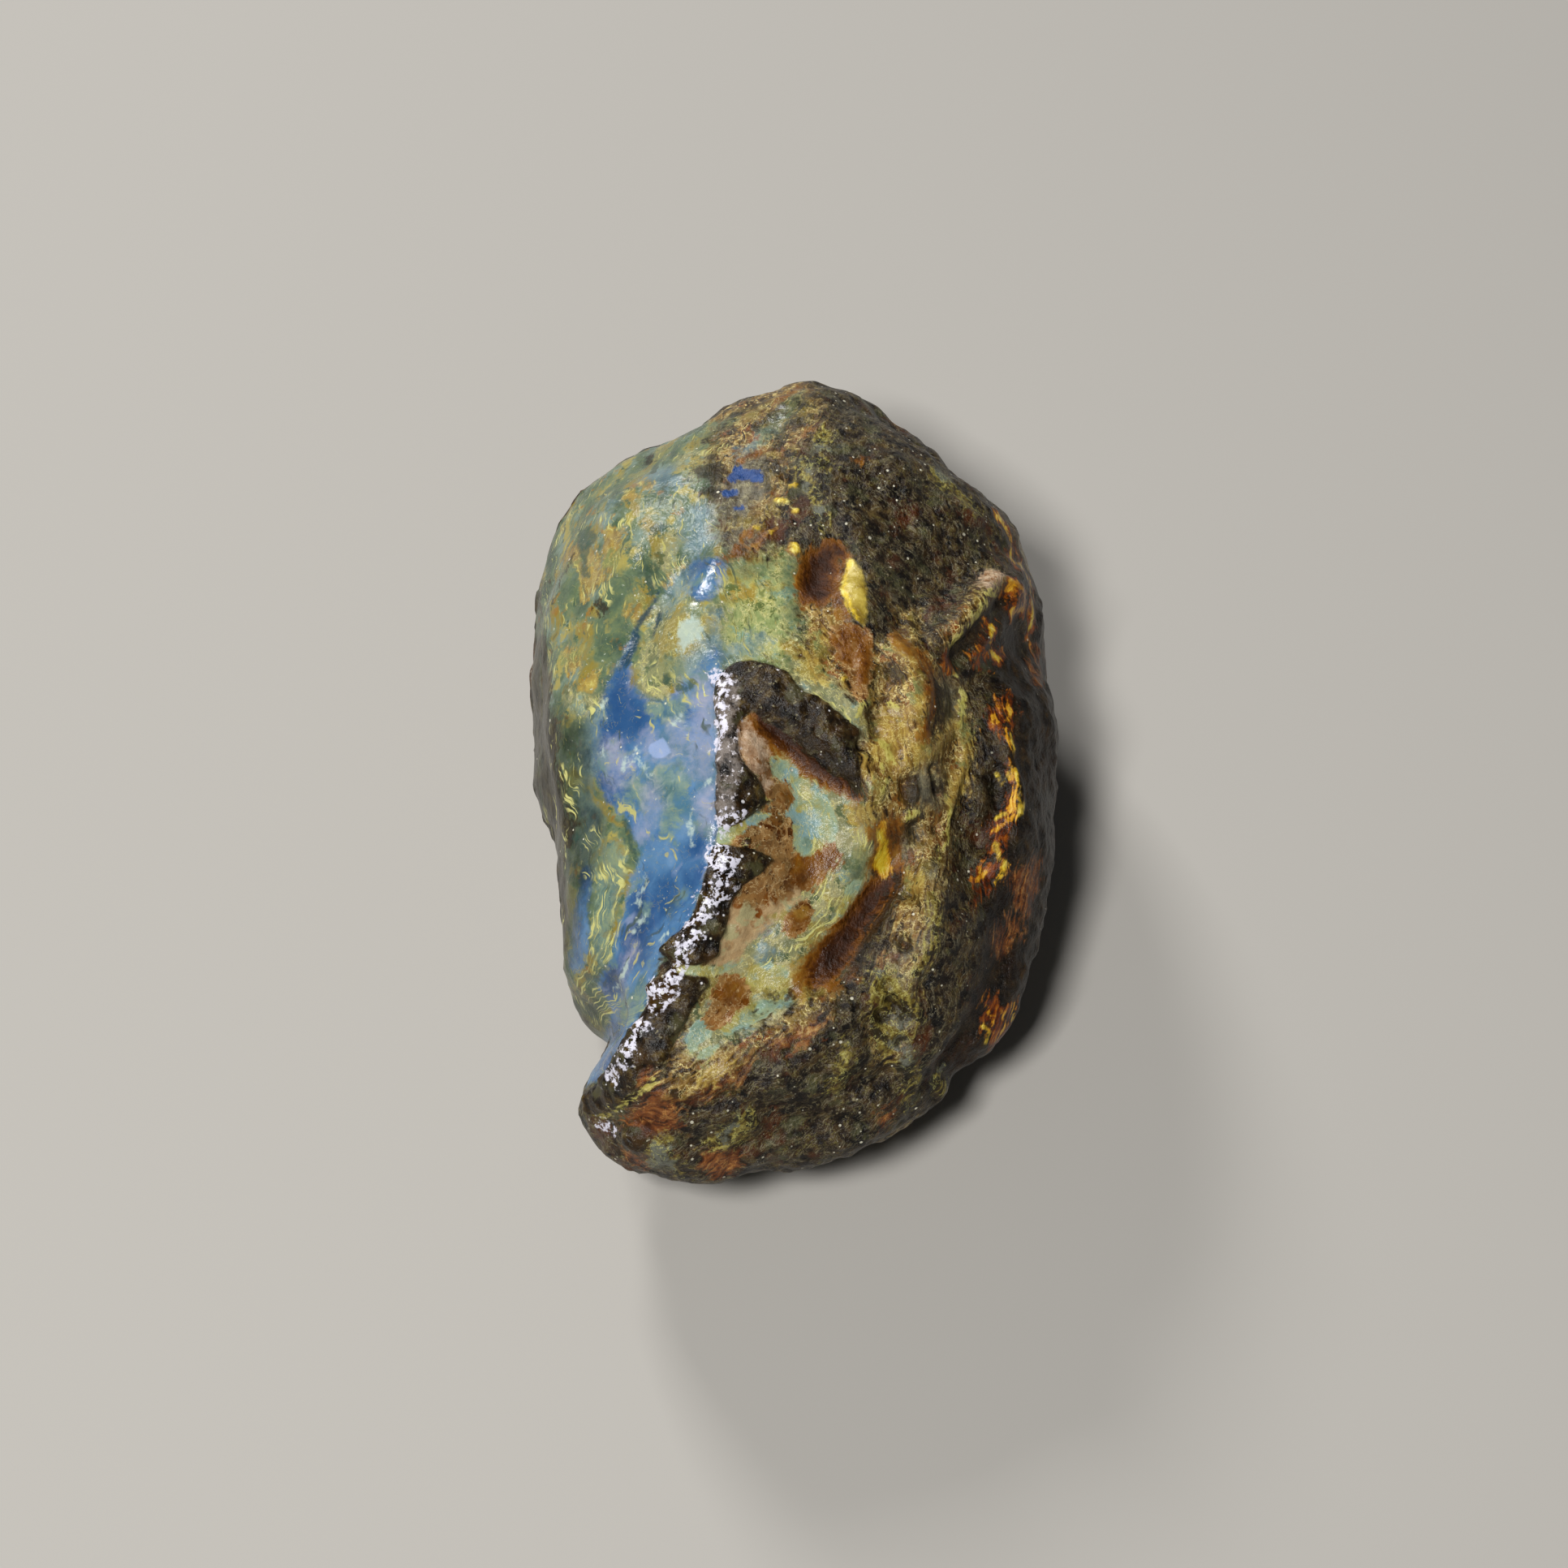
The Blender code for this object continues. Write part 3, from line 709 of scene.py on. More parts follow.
RUST_SKIN = [
    [(908, 898), (924, 884), (946, 894), (956, 906), (950, 926), (947, 945), (956, 958), (972, 966),
     (977, 982), (971, 997), (958, 1003), (940, 1001), (930, 998), (938, 984), (930, 965), (920, 950),
     (911, 930)],
    [(900, 1042), (914, 1026), (934, 1016), (952, 1003), (966, 1004), (973, 1020), (976, 1042), (980, 1053),
     (990, 1058), (1004, 1054), (1014, 1044), (1028, 1039), (1036, 1050), (1030, 1066), (1014, 1080),
     (1006, 1092), (990, 1100), (978, 1108), (964, 1122), (948, 1130), (924, 1126), (902, 1116),
     (897, 1098), (900, 1070)],
    [(964, 1140), (970, 1120), (984, 1110), (998, 1114), (1001, 1130), (994, 1148), (978, 1157),
     (966, 1152)],
    [(898, 1112), (930, 1122), (952, 1128), (938, 1140), (922, 1152), (918, 1168), (902, 1182), (880, 1190),
     (872, 1180), (876, 1158), (886, 1140)],
    [(880, 1212), (894, 1198), (912, 1200), (920, 1216), (926, 1230), (918, 1244), (904, 1252), (894, 1264),
     (878, 1268), (866, 1262), (872, 1240)],
]
patch("rust", *RUST_SKIN)
ROSE_SKIN = [
    (910, 900), (922, 888), (940, 894), (950, 908), (944, 928), (943, 948), (950, 962), (944, 976),
    (934, 970), (922, 950), (913, 930),
]
patch("rose", ROSE_SKIN)
CELLS = [
    (898, 1100), (926, 1118), (956, 1112), (986, 1096), (974, 1122), (950, 1134), (926, 1160), (906, 1186),
    (880, 1190), (873, 1178), (884, 1142), (892, 1120),
]
patch("cells", CELLS)
RUST_CORES = [
    [(1012, 1048), (1024, 1040), (1035, 1050), (1031, 1066), (1016, 1078), (1006, 1070)],
    [(982, 1058), (1004, 1058), (1008, 1074), (996, 1092), (982, 1092), (976, 1074)],
    [(958, 972), (972, 972), (974, 988), (964, 996), (956, 986)],
    [(972, 1128), (990, 1120), (994, 1138), (978, 1148)],
    [(890, 1210), (906, 1208), (914, 1228), (900, 1242), (886, 1232)],
]
patch("honey", *RUST_CORES)
CELL_SPOTS = [
    [(882, 1158), (886, 1160)], [(914, 1148), (908, 1154)], [(916, 1066)], [(936, 1100), (944, 1104)],
    [(962, 1010)], [(884, 1062), (892, 1068)],
]
streak("gold", 0.6, *CELL_SPOTS)
PALE_FLOWS = [
    [(1024, 1140), (1010, 1150), (990, 1158), (976, 1170), (960, 1182), (948, 1192)],
    [(1030, 1100), (1018, 1118), (1008, 1136), (996, 1156)], [(1060, 1030), (1072, 1040), (1080, 1030)],
    [(1000, 1110), (1012, 1096), (1018, 1084)], [(1044, 1108), (1030, 1130), (1022, 1142)],
    [(985, 965), (988, 985), (994, 992)], [(1000, 958), (1004, 970)], [(880, 1200), (882, 1225)],
    [(1002, 1030), (1004, 1046)],
]
streak("fleck", 0.9, *PALE_FLOWS)
SKIN_LUMPS = [
    [(925, 920), (930, 950)], [(955, 985)], [(920, 1040), (945, 1030), (962, 1020)],
    [(935, 1080), (960, 1070)], [(915, 1150), (905, 1165)], [(905, 1225)], [(982, 1132)],
]
BUBBLES = [
    [(884, 1150)], [(886, 1172)], [(910, 1146)], [(914, 1120)], [(930, 1112)], [(950, 1116)], [(936, 1140)],
    [(942, 1172)], [(924, 1040)], [(944, 1028)], [(918, 1062)], [(940, 1078)], [(962, 1070)], [(920, 910)],
    [(930, 940)], [(944, 976)], [(966, 984)],
]
work(0.16, 0.9, *BUBBLES)
work(0.25, 1.6, *SKIN_LUMPS)
WINDOW_HOLLOWS = [
    [(965, 945), (990, 985), (1000, 1030)], [(900, 1025), (930, 1010)], [(900, 1260), (940, 1238)],
]
work(-0.12, 1.6, *WINDOW_HOLLOWS)

# ---------------------------------------------------------------------------------------------------------
# The long slanting groove and the slit above it: here the bark has come off, and the resin is dark honey in
# the groove. The light that goes in and comes out again is painted as a glow, orange at its edges and
# bright yellow in the slit.
GROOVE = [
    (1072, 1084), (1090, 1074), (1111, 1062), (1112, 1084), (1100, 1108), (1084, 1130), (1066, 1154),
    (1052, 1180), (1036, 1202), (1018, 1214), (998, 1216), (988, 1206), (998, 1182), (1014, 1156),
    (1034, 1132), (1052, 1108),
]
# Painted shadow under the hook's lower edge: a band of dark honey with an orange rim.
UNDER_HOOK_SHADOW = [
    (926, 872), (950, 872), (975, 882), (1000, 902), (1020, 922), (1042, 938), (1058, 956), (1066, 984),
    (1056, 990), (1042, 982), (1026, 976), (1012, 970), (1000, 962), (986, 950), (970, 936), (954, 924),
    (940, 912), (930, 900),
]
patch("umber_and_shadow", GROOVE, UNDER_HOOK_SHADOW)
# A darker line of painted shadow in it.
UNDER_HOOK_DEEP_SHADOW = [(990, 912), (1012, 926), (1034, 944), (1050, 960), (1060, 976)]
streak("soot_and_shade", 0.8, UNDER_HOOK_DEEP_SHADOW)
GROOVE_FLOOR = [(1096, 1085), (1068, 1125), (1040, 1165), (1018, 1195)]
work(-0.28, 2.8, GROOVE_FLOOR)
SLIT = [
    (1083, 1018), (1087, 1013), (1091, 1020), (1092, 1040), (1098, 1056), (1097, 1073), (1087, 1081),
    (1077, 1074), (1080, 1058), (1084, 1038),
]
patch("amber", SLIT)
# Painted glow in the slit, with a honey halo round it.
SLIT_BRIGHT = [(1084, 1026), (1090, 1040), (1088, 1054), (1086, 1068)]
streak("honey", 2.0, SLIT_BRIGHT)
streak("painted_glow", 0.5, SLIT_BRIGHT)
streak("painted_glow", 0.9, SLIT_BRIGHT[2:])
# Painted shadow along the groove's right edge.
GROOVE_EDGE_SHADOW = [(1107, 1084), (1094, 1112), (1074, 1142), (1060, 1170), (1046, 1198)]
streak("soot_and_shade", 0.7, GROOVE_EDGE_SHADOW)
# The groove's orange edges, a painted glow.
GROOVE_EDGES = [
    [(1012, 1160), (1000, 1182), (990, 1202), (982, 1220)], [(1098, 1005), (1106, 1025), (1104, 1050)],
    [(1118, 965), (1112, 985)], [(1026, 1180), (1020, 1200), (1028, 1215)], [(1046, 1185), (1050, 1200)],
    [(1098, 1018), (1102, 1040), (1106, 1058)],
]
streak("honey", 0.8, *GROOVE_EDGES)

# ---------------------------------------------------------------------------------------------------------
# The ochre field and the scaly ridges right of the hook: weathered golden skin, veined with yellow and
# pitted through to the grey bark.
OCHRE_FIELD = [
    (1080, 802), (1100, 792), (1125, 798), (1150, 812), (1165, 830), (1186, 846), (1190, 885), (1196, 930),
    (1188, 970), (1172, 998), (1168, 1040), (1164, 1075), (1152, 1105), (1150, 1145), (1142, 1180),
    (1128, 1205), (1126, 1250), (1114, 1290), (1092, 1302), (1076, 1280), (1078, 1230), (1090, 1196),
    (1096, 1160), (1106, 1130), (1108, 1100), (1114, 1062), (1104, 1020), (1080, 1008), (1062, 985),
    (1062, 945), (1062, 908), (1076, 882), (1078, 845),
]
patch("tan", OCHRE_FIELD)
GREY_BLOBS = [
    [(1119, 962), (1130, 946), (1150, 942), (1164, 955), (1164, 985), (1154, 1000), (1135, 996),
     (1122, 988)],
    [(1111, 1024), (1122, 1014), (1138, 1018), (1142, 1032), (1130, 1042), (1116, 1056), (1106, 1050)],
    [(1155, 838), (1168, 830), (1184, 842), (1184, 875), (1174, 892), (1160, 880)],
    [(1098, 1170), (1112, 1160), (1122, 1180), (1114, 1210), (1098, 1205)],
    [(1130, 1150), (1142, 1142), (1148, 1158), (1138, 1178), (1128, 1172)],
    [(1140, 1070), (1154, 1066), (1158, 1080), (1144, 1090)],
]
patch("grey", *GREY_BLOBS)
FIELD_HOLES = [
    [(1126, 1020), (1130, 1032)], [(1116, 962), (1118, 980)], [(1116, 1100), (1124, 1104)],
    [(1112, 1156), (1116, 1164)], [(1086, 1250), (1094, 1258)], [(1099, 1233)], [(1116, 1255)],
    [(1093, 1213)], [(1105, 1243)], [(1155, 1022)], [(1160, 1046), (1158, 1054)], [(950, 1228)],
    [(934, 1243)], [(970, 1228)], [(1004, 1218)], [(1112, 1282)], [(1080, 880)], [(1080, 900)],
    [(1060, 918)], [(1150, 950), (1156, 972)],
]
streak("soot_and_shade", 0.6, *FIELD_HOLES)
work(-0.5, 0.8, *FIELD_HOLES)
FIELD_OLIVE = [
    [(1082, 880), (1100, 868), (1118, 880), (1120, 910), (1108, 940), (1090, 950), (1076, 935),
     (1074, 905)],
    [(1108, 1075), (1122, 1068), (1136, 1080), (1136, 1105), (1118, 1112), (1108, 1098)],
]
patch("gold", *FIELD_OLIVE)
FIELD_BARE = [
    [(1091, 818), (1104, 814), (1114, 822), (1112, 836), (1098, 838), (1090, 830)],
    [(1151, 836), (1160, 842), (1162, 880), (1152, 900), (1146, 886), (1150, 860)],
]
patch("soot_and_shade", *FIELD_BARE)
# Painted shade in two carved hollows.
FIELD_DARK = [
    [(1115, 958), (1122, 955), (1131, 968), (1129, 990), (1120, 993), (1114, 978)],
    [(1112, 1024), (1124, 1016), (1134, 1024), (1128, 1038), (1116, 1040)],
]
patch("soot_and_shade", *FIELD_DARK)
RIDGE_FOLDS = [
    [(1100, 796), (1116, 806), (1124, 828), (1128, 860), (1130, 895), (1125, 925), (1112, 942)],
    [(1068, 800), (1064, 830), (1072, 858)], [(1064, 935), (1068, 955), (1074, 972)],
    [(1175, 895), (1162, 912), (1144, 926), (1120, 940)],
    [(1182, 880), (1188, 933), (1175, 979), (1168, 1000)],
]
streak("gold", 0.8, *RIDGE_FOLDS)
RIDGE_RUST = [[(1134, 822), (1144, 842), (1147, 868), (1142, 894), (1134, 910)], [(1104, 786), (1126, 808)]]
streak("honey", 0.9, *RIDGE_RUST)
# Painted shadow beside the fold.
FOLD_SHADOW = [(1136, 806), (1147, 826), (1151, 850), (1148, 876), (1139, 900)]
streak("umber_and_shadow", 0.7, FOLD_SHADOW)
RIDGE_THREADS = [
    [(1160, 812), (1172, 826), (1180, 846), (1187, 862)], [(1187, 862), (1182, 882), (1175, 896)],
    [(1166, 1000), (1166, 1030), (1161, 1056)], [(1128, 1000), (1118, 1006)], [(1092, 862), (1106, 872)],
    [(1062, 870), (1054, 884)], [(1074, 900), (1088, 918), (1098, 940)],
    [(1084, 940), (1090, 962), (1086, 976)],
]
streak("straw", 0.24, *RIDGE_THREADS)
work(0.24, 1.0, *RIDGE_FOLDS, *RIDGE_RUST)
FIELD_HOLLOWS = [[(1100, 836), (1104, 880)], [(1084, 850), (1080, 900)]]
work(-0.35, 1.6, *FIELD_HOLLOWS)
work(0.15, 0.7, *RIDGE_THREADS)
FIELD_TROUGH = [(1154, 840), (1154, 866), (1149, 895)]
work(-0.2, 1.1, FIELD_TROUGH)
LACE_VEIN = [
    (1142, 1108), (1149, 1135), (1146, 1165), (1134, 1188), (1122, 1206), (1120, 1225), (1124, 1245),
    (1118, 1268), (1122, 1285), (1114, 1306),
]
streak("lace", 0.7, LACE_VEIN)
work(0.4, 1.1, LACE_VEIN)
LACE = [
    [(1075, 1205), (1092, 1196), (1118, 1206), (1124, 1240), (1120, 1275), (1108, 1290), (1086, 1300),
     (1074, 1270)],
    [(1018, 1340), (1026, 1320), (1036, 1300), (1040, 1282), (1048, 1282), (1044, 1310), (1048, 1325),
     (1034, 1345)],
    [(1112, 1340), (1122, 1335), (1124, 1355), (1116, 1366), (1110, 1355)],
    [(1124, 1318), (1132, 1320), (1130, 1340), (1124, 1338)],
    [(1150, 1325), (1158, 1318), (1156, 1340), (1148, 1340)],
]
patch("lace", *LACE)
LOW_RIM = [(1162, 1340), (1157, 1363), (1142, 1381), (1120, 1392), (1093, 1408)]
streak("lace", 0.7, LOW_RIM)
work(0.4, 1.2, LOW_RIM)
OCHRE_CELLS = [
    [(1088, 1170), (1098, 1178), (1094, 1202), (1084, 1200)],
    [(1078, 1262), (1092, 1268), (1090, 1292), (1078, 1288)],
    [(1108, 1112), (1120, 1116), (1118, 1150), (1108, 1150)],
]
patch("russet", *OCHRE_CELLS)

# ---------------------------------------------------------------------------------------------------------
# The right shoulder: bark with a pinkish finger of resin that overhangs a hollow with painted shade in it,
# and thin orange edges where the crust has chipped, brightened into a painted glow.
FINGER = [
    (1222, 706), (1231, 704), (1238, 711), (1236, 722), (1226, 732), (1214, 742), (1204, 753), (1194, 768),
    (1182, 780), (1170, 790), (1158, 794), (1152, 788), (1158, 778), (1172, 768), (1184, 753), (1196, 738),
    (1208, 722),
]
patch("tan", FINGER)
FINGER_TIP = [(1206, 716), (1216, 706), (1230, 703), (1240, 710), (1236, 722), (1222, 732), (1208, 730)]
patch("rose", FINGER_TIP)
FINGER_BACK = [(1230, 712), (1210, 732), (1192, 754), (1170, 778), (1156, 788)]
work(0.5, 1.5, FINGER_BACK)
FINGER_HOLLOW = [(1246, 730), (1224, 758), (1202, 784), (1182, 806)]
work(-0.6, 1.5, FINGER_HOLLOW)
FINGER_EDGE = [(1240, 714), (1232, 722), (1216, 738), (1206, 752), (1198, 766), (1184, 782), (1168, 797)]
streak("straw", 0.3, FINGER_EDGE)
# Painted shade in the hollow under the finger.
FINGER_SHADE = [
    (1240, 724), (1224, 738), (1212, 756), (1202, 774), (1186, 790), (1172, 802), (1172, 816), (1190, 812),
    (1210, 790), (1226, 764), (1240, 742),
]
patch("soot_and_shade", FINGER_SHADE)
SHOULDER_OLIVE = [
    [(1145, 575), (1160, 578), (1185, 600), (1208, 628), (1200, 636), (1175, 615), (1152, 592)],
]
patch("lace", *SHOULDER_OLIVE)
# The chipped orange edges, brightened into a painted glow.
SHOULDER_EDGES = [
    [(1233, 637), (1243, 665), (1247, 690), (1260, 700), (1268, 720), (1272, 760)],
    [(1242, 722), (1254, 718), (1264, 730), (1262, 750), (1248, 754)],
    [(1225, 770), (1218, 795), (1222, 806), (1228, 812)], [(1205, 812), (1210, 818)],
    [(1242, 864), (1246, 886)], [(1270, 745), (1273, 756), (1268, 776)], [(1225, 882), (1228, 890)],
    [(1163, 812), (1168, 822)],
]
streak("ember_and_glow", 1.1, *SHOULDER_EDGES)
streak("amber", 0.4, SHOULDER_EDGES[0], SHOULDER_EDGES[1], SHOULDER_EDGES[2])
streak("painted_glow", 0.16, SHOULDER_EDGES[0], SHOULDER_EDGES[2], SHOULDER_EDGES[5])

# ---------------------------------------------------------------------------------------------------------
# The right flank, in the shade, painted darker as nearly black bark, with a long chipped edge of orange
# resin down it, and red and amber glows, painted on, where light comes through the thin edges.
# Painted shade: the whole flank's bark is darkened.
FLANK_PAINTED_SHADE = [
    (1250, 700), (1290, 760), (1312, 860), (1316, 960), (1306, 1060), (1284, 1160), (1256, 1260),
    (1214, 1316), (1160, 1356), (1130, 1340), (1170, 1290), (1198, 1220), (1208, 1130), (1212, 1040),
    (1218, 960), (1222, 880), (1214, 820), (1220, 766),
]
patch("painted_flank_shade", FLANK_PAINTED_SHADE)
# The chipped seam and its amber lines, their orange partly a painted glow.
FLANK_SEAM = [
    (1236, 899), (1241, 915), (1243, 935), (1246, 955), (1251, 970), (1251, 985), (1246, 998), (1236, 1010),
    (1228, 1028), (1226, 1050), (1231, 1068),
]
streak("ember_and_glow", 0.6, FLANK_SEAM)
SEAM_LINES = [
    [(1237, 900), (1241, 918), (1244, 940), (1247, 958)], [(1250, 968), (1251, 984), (1247, 996)],
    [(1240, 866), (1244, 876), (1242, 886)], [(1225, 882), (1228, 890)],
    [(1250, 1006), (1240, 1012), (1230, 1022)],
]
streak("amber", 0.32, *SEAM_LINES)
# Painted glow: thin bright yellow lines on the seam.
FLANK_BRIGHT = [
    [(1243, 905), (1247, 930), (1243, 958)], [(1250, 950), (1253, 975), (1256, 1000)],
    [(1262, 990), (1258, 1004)], [(1232, 952), (1238, 964)], [(1228, 1006), (1240, 1000)],
    [(1226, 1040), (1230, 1060)], [(1238, 1062), (1233, 1075), (1227, 1088)], [(1228, 1040), (1228, 1056)],
    [(1210, 1262), (1218, 1272), (1214, 1284)], [(1248, 1250), (1246, 1270), (1238, 1284)],
]
streak("painted_glow", 0.14, *FLANK_BRIGHT)
# Red and amber patches, brightened into a painted glow.
FLANK_AMBER = [
    [(1228, 1010), (1240, 1003), (1249, 1008), (1246, 1024), (1236, 1040), (1230, 1056), (1223, 1056),
     (1222, 1034)],
    [(1202, 1076), (1214, 1068), (1228, 1074), (1224, 1092), (1206, 1112), (1198, 1104)],
    [(1212, 1232), (1222, 1228), (1236, 1241), (1248, 1238), (1247, 1252), (1239, 1262), (1246, 1272),
     (1236, 1284), (1222, 1292), (1218, 1276), (1209, 1260)],
]
patch("ember_and_glow", *FLANK_AMBER)
EMBER_LINES = [
    [(1214, 1238), (1220, 1258), (1214, 1276)], [(1232, 1246), (1238, 1262), (1230, 1282)],
    [(1247, 1238), (1248, 1256), (1242, 1270)], [(1212, 1074), (1204, 1090)],
    [(1240, 1064), (1232, 1076), (1227, 1090)],
]
streak("amber", 0.22, *EMBER_LINES)
FLANK_RED = [
    [(1274, 800), (1284, 802), (1282, 838), (1272, 838)],
    [(1252, 1080), (1270, 1062), (1284, 1058), (1280, 1090), (1268, 1122), (1254, 1130), (1248, 1105)],
    [(1221, 1150), (1236, 1152), (1242, 1168), (1232, 1178), (1222, 1168)],
    [(1240, 1128), (1254, 1134), (1254, 1150), (1242, 1148)],
]
patch("russet", *FLANK_RED)
work(0.45, 1.2, FLANK_SEAM)
SEAM_HOLLOW = [(1232, 960), (1236, 1000), (1214, 1035)]
work(-0.7, 1.6, SEAM_HOLLOW)

# ---------------------------------------------------------------------------------------------------------
# The near end: an ochre band with rusty edges slants across it, and below it the bark is scaly and dull.
OCHRE_BAND = [
    (822, 1330), (836, 1290), (852, 1240), (870, 1232), (874, 1262), (862, 1300), (890, 1282), (915, 1276),
    (945, 1262), (975, 1242), (1000, 1212), (1020, 1195), (1032, 1210), (1022, 1240), (1000, 1256),
    (965, 1272), (930, 1290), (905, 1318), (880, 1330), (856, 1345), (836, 1352),
]
patch("tan", OCHRE_BAND)
BAND_GOLD = [
    [(858, 1330), (872, 1312), (888, 1304), (902, 1310), (892, 1326), (872, 1338)],
    [(972, 1200), (985, 1180), (1002, 1160), (1016, 1150), (1018, 1170), (1012, 1200), (1000, 1226),
     (984, 1236)],
]
patch("gold", *BAND_GOLD)
RUSTY_EDGES = [
    [(775, 1368), (800, 1350), (812, 1335), (836, 1340), (858, 1342), (885, 1322), (912, 1300), (930, 1290),
     (918, 1318), (890, 1345), (862, 1352), (840, 1360), (836, 1385), (810, 1396), (780, 1392),
     (764, 1382)],
    [(962, 1268), (985, 1252), (1010, 1240), (1018, 1250), (1006, 1272), (980, 1288), (958, 1292),
     (945, 1282)],
    [(790, 1318), (806, 1312), (804, 1325), (794, 1338), (786, 1332)],
    [(868, 1420), (890, 1412), (914, 1416), (912, 1436), (890, 1446), (870, 1440)],
    [(772, 1418), (800, 1424), (792, 1440), (776, 1432)],
    [(1082, 1372), (1098, 1364), (1096, 1378), (1084, 1384)],
]
patch("russet", *RUSTY_EDGES)
NEAR_PALE = [
    [(868, 1411), (880, 1396), (900, 1378), (915, 1366), (926, 1372), (926, 1392), (914, 1406),
     (895, 1413)],
    [(800, 1404), (820, 1396), (832, 1404), (824, 1420), (812, 1436), (798, 1430)],
    [(732, 1358), (748, 1352), (756, 1366), (748, 1376), (734, 1374)],
    [(825, 1428), (838, 1424), (842, 1444), (832, 1448)],
]
patch("lace", *NEAR_PALE)
NEAR_STRAW = [(760, 1366), (776, 1356), (790, 1346), (806, 1332)]
streak("straw", 0.4, NEAR_STRAW)
NEAR_LUMPS = [
    [(850, 1385), (880, 1372)], [(960, 1330), (1000, 1340)], [(930, 1420), (970, 1410)],
    [(1060, 1360), (1090, 1350)], [(820, 1420)], [(895, 1400), (918, 1385)], [(1000, 1300)],
    [(1040, 1320), (1050, 1300)], [(780, 1400)],
]
work(0.35, 1.8, *NEAR_LUMPS)
NEAR_HOLLOWS = [
    [(860, 1365), (890, 1352)], [(930, 1370), (980, 1372)], [(1010, 1390), (1060, 1380)],
    [(850, 1405), (880, 1400)],
]
work(-0.35, 1.5, *NEAR_HOLLOWS)

# ---------------------------------------------------------------------------------------------------------
# The raised bark: a hook and, below it, a ridge of black, gritty crust, the imprint of the tree's bark. It
# stands half a millimetre proud of the resin, and its left edge is broken to glassy beads, with white
# highlights painted along it.
HOOK = [
    (881, 850), (890, 830), (905, 820), (920, 816), (945, 818), (960, 825), (971, 831), (986, 851),
    (1009, 862), (1025, 876), (1045, 890), (1058, 905), (1055, 925), (1060, 950), (1062, 982), (1050, 972),
    (1040, 960), (1022, 955), (1005, 938), (990, 922), (971, 906), (950, 892), (932, 880), (924, 878),
    (914, 886), (908, 902), (911, 933), (921, 950), (936, 970), (938, 988), (926, 1004), (900, 1020),
    (886, 1016), (882, 1000), (884, 960), (885, 900),
]
RIDGE_ABOVE = [
    (880, 1042), (900, 1042), (945, 1055), (940, 1072), (915, 1092), (900, 1112), (896, 1136), (885, 1160),
    (880, 1178), (865, 1187), (845, 1189), (830, 1184), (815, 1174), (822, 1160), (836, 1150), (848, 1135),
    (858, 1115), (868, 1085), (874, 1060),
]
RIDGE_BELOW = [
    (838, 1200), (855, 1202), (870, 1205), (865, 1222), (852, 1240), (845, 1258), (835, 1277), (828, 1292),
    (815, 1312), (800, 1312), (788, 1320), (785, 1340), (775, 1352), (760, 1366), (745, 1370), (730, 1372),
    (722, 1360), (728, 1345), (745, 1328), (755, 1310), (765, 1290), (778, 1268), (792, 1250), (803, 1234),
    (802, 1215), (814, 1204), (825, 1196),
]
patch("crust", HOOK, RIDGE_ABOVE, RIDGE_BELOW)
CHANCES = np.random.default_rng(7).uniform(-1.0, 1.0, 4096)


def unevenness(places, size, shift=0):
    """Smooth noise, -1 to 1, with lumps of about this size in millimetres."""
    spots = places / size + 31.7 * shift
    corner = np.floor(spots).astype(np.int64)
    share = spots - corner
    share = share * share * (3 - 2 * share)
    total = np.zeros(len(places))
    for step in np.ndindex(2, 2, 2):
        x, y, z = (corner + step).T
        weight = np.where(step, share, 1 - share).prod(axis=1)
        total += weight * CHANCES[(x * 73856093 ^ y * 19349663 ^ z * 83492791) % len(CHANCES)]
    return total


def smooth_step(values, low, high):
    """From 0 at the low value to 1 at the high one, without corners."""
    share = np.clip((values - low) / (high - low), 0.0, 1.0)
    return share * share * (3 - 2 * share)


CHIN = [(768, 1388), (784, 1384), (800, 1396), (798, 1412), (782, 1412), (770, 1402)]
patch("crust", CHIN)
crust_field = fields["crust"] + 0.25 * unevenness(points, 1.0, 3) + 0.14 * unevenness(points, 0.6, 4)
crust_grit = 0.16 * unevenness(points, 1.2, 5) + 0.16 * unevenness(points, 0.6, 6)
rise += smooth_step(crust_field, -0.2, 0.35) * (0.5 + crust_grit)
# Painted highlights: white glints painted along the crust's left edge.
EDGE_GLINTS_PAINTED = [
    [(882, 1040), (890, 1050), (896, 1062)], [(880, 1060), (886, 1074), (892, 1086)],
    [(878, 1096), (884, 1104)], [(872, 1108), (866, 1122), (859, 1136)], [(857, 1146), (852, 1154)],
    [(840, 1168), (838, 1182)], [(834, 1196), (828, 1210), (824, 1226)], [(808, 1214), (808, 1228)],
    [(806, 1240), (814, 1240)], [(792, 1266), (788, 1278)], [(778, 1290), (772, 1304)],
    [(760, 1320), (764, 1328)], [(880, 834), (888, 832)], [(891, 852), (893, 862)],
    [(892, 878), (891, 892)], [(887, 906), (887, 920)], [(889, 1012), (892, 1017)],
    [(902, 1008), (908, 1008)], [(742, 1390), (754, 1392)],
]
streak("painted_glints", 0.86, *EDGE_GLINTS_PAINTED)
HOOK_LOWER_EDGE = [(950, 884), (976, 902), (1004, 926), (1030, 948), (1052, 966)]
work(-0.35, 1.4, HOOK_LOWER_EDGE)
HOOK_BEADS = [
    [(893, 858)], [(891, 885)], [(894, 935)], [(896, 965)], [(890, 1006)], [(902, 1010)], [(886, 1048)],
    [(894, 1062)], [(880, 1080)], [(876, 1098)], [(866, 1120)], [(858, 1142)], [(840, 1174)], [(828, 1204)],
    [(808, 1220)], [(792, 1270)], [(776, 1298)], [(762, 1322)], [(918, 840)], [(950, 846)], [(984, 880)],
    [(1030, 912)],
]
work(0.14, 0.6, *HOOK_BEADS)
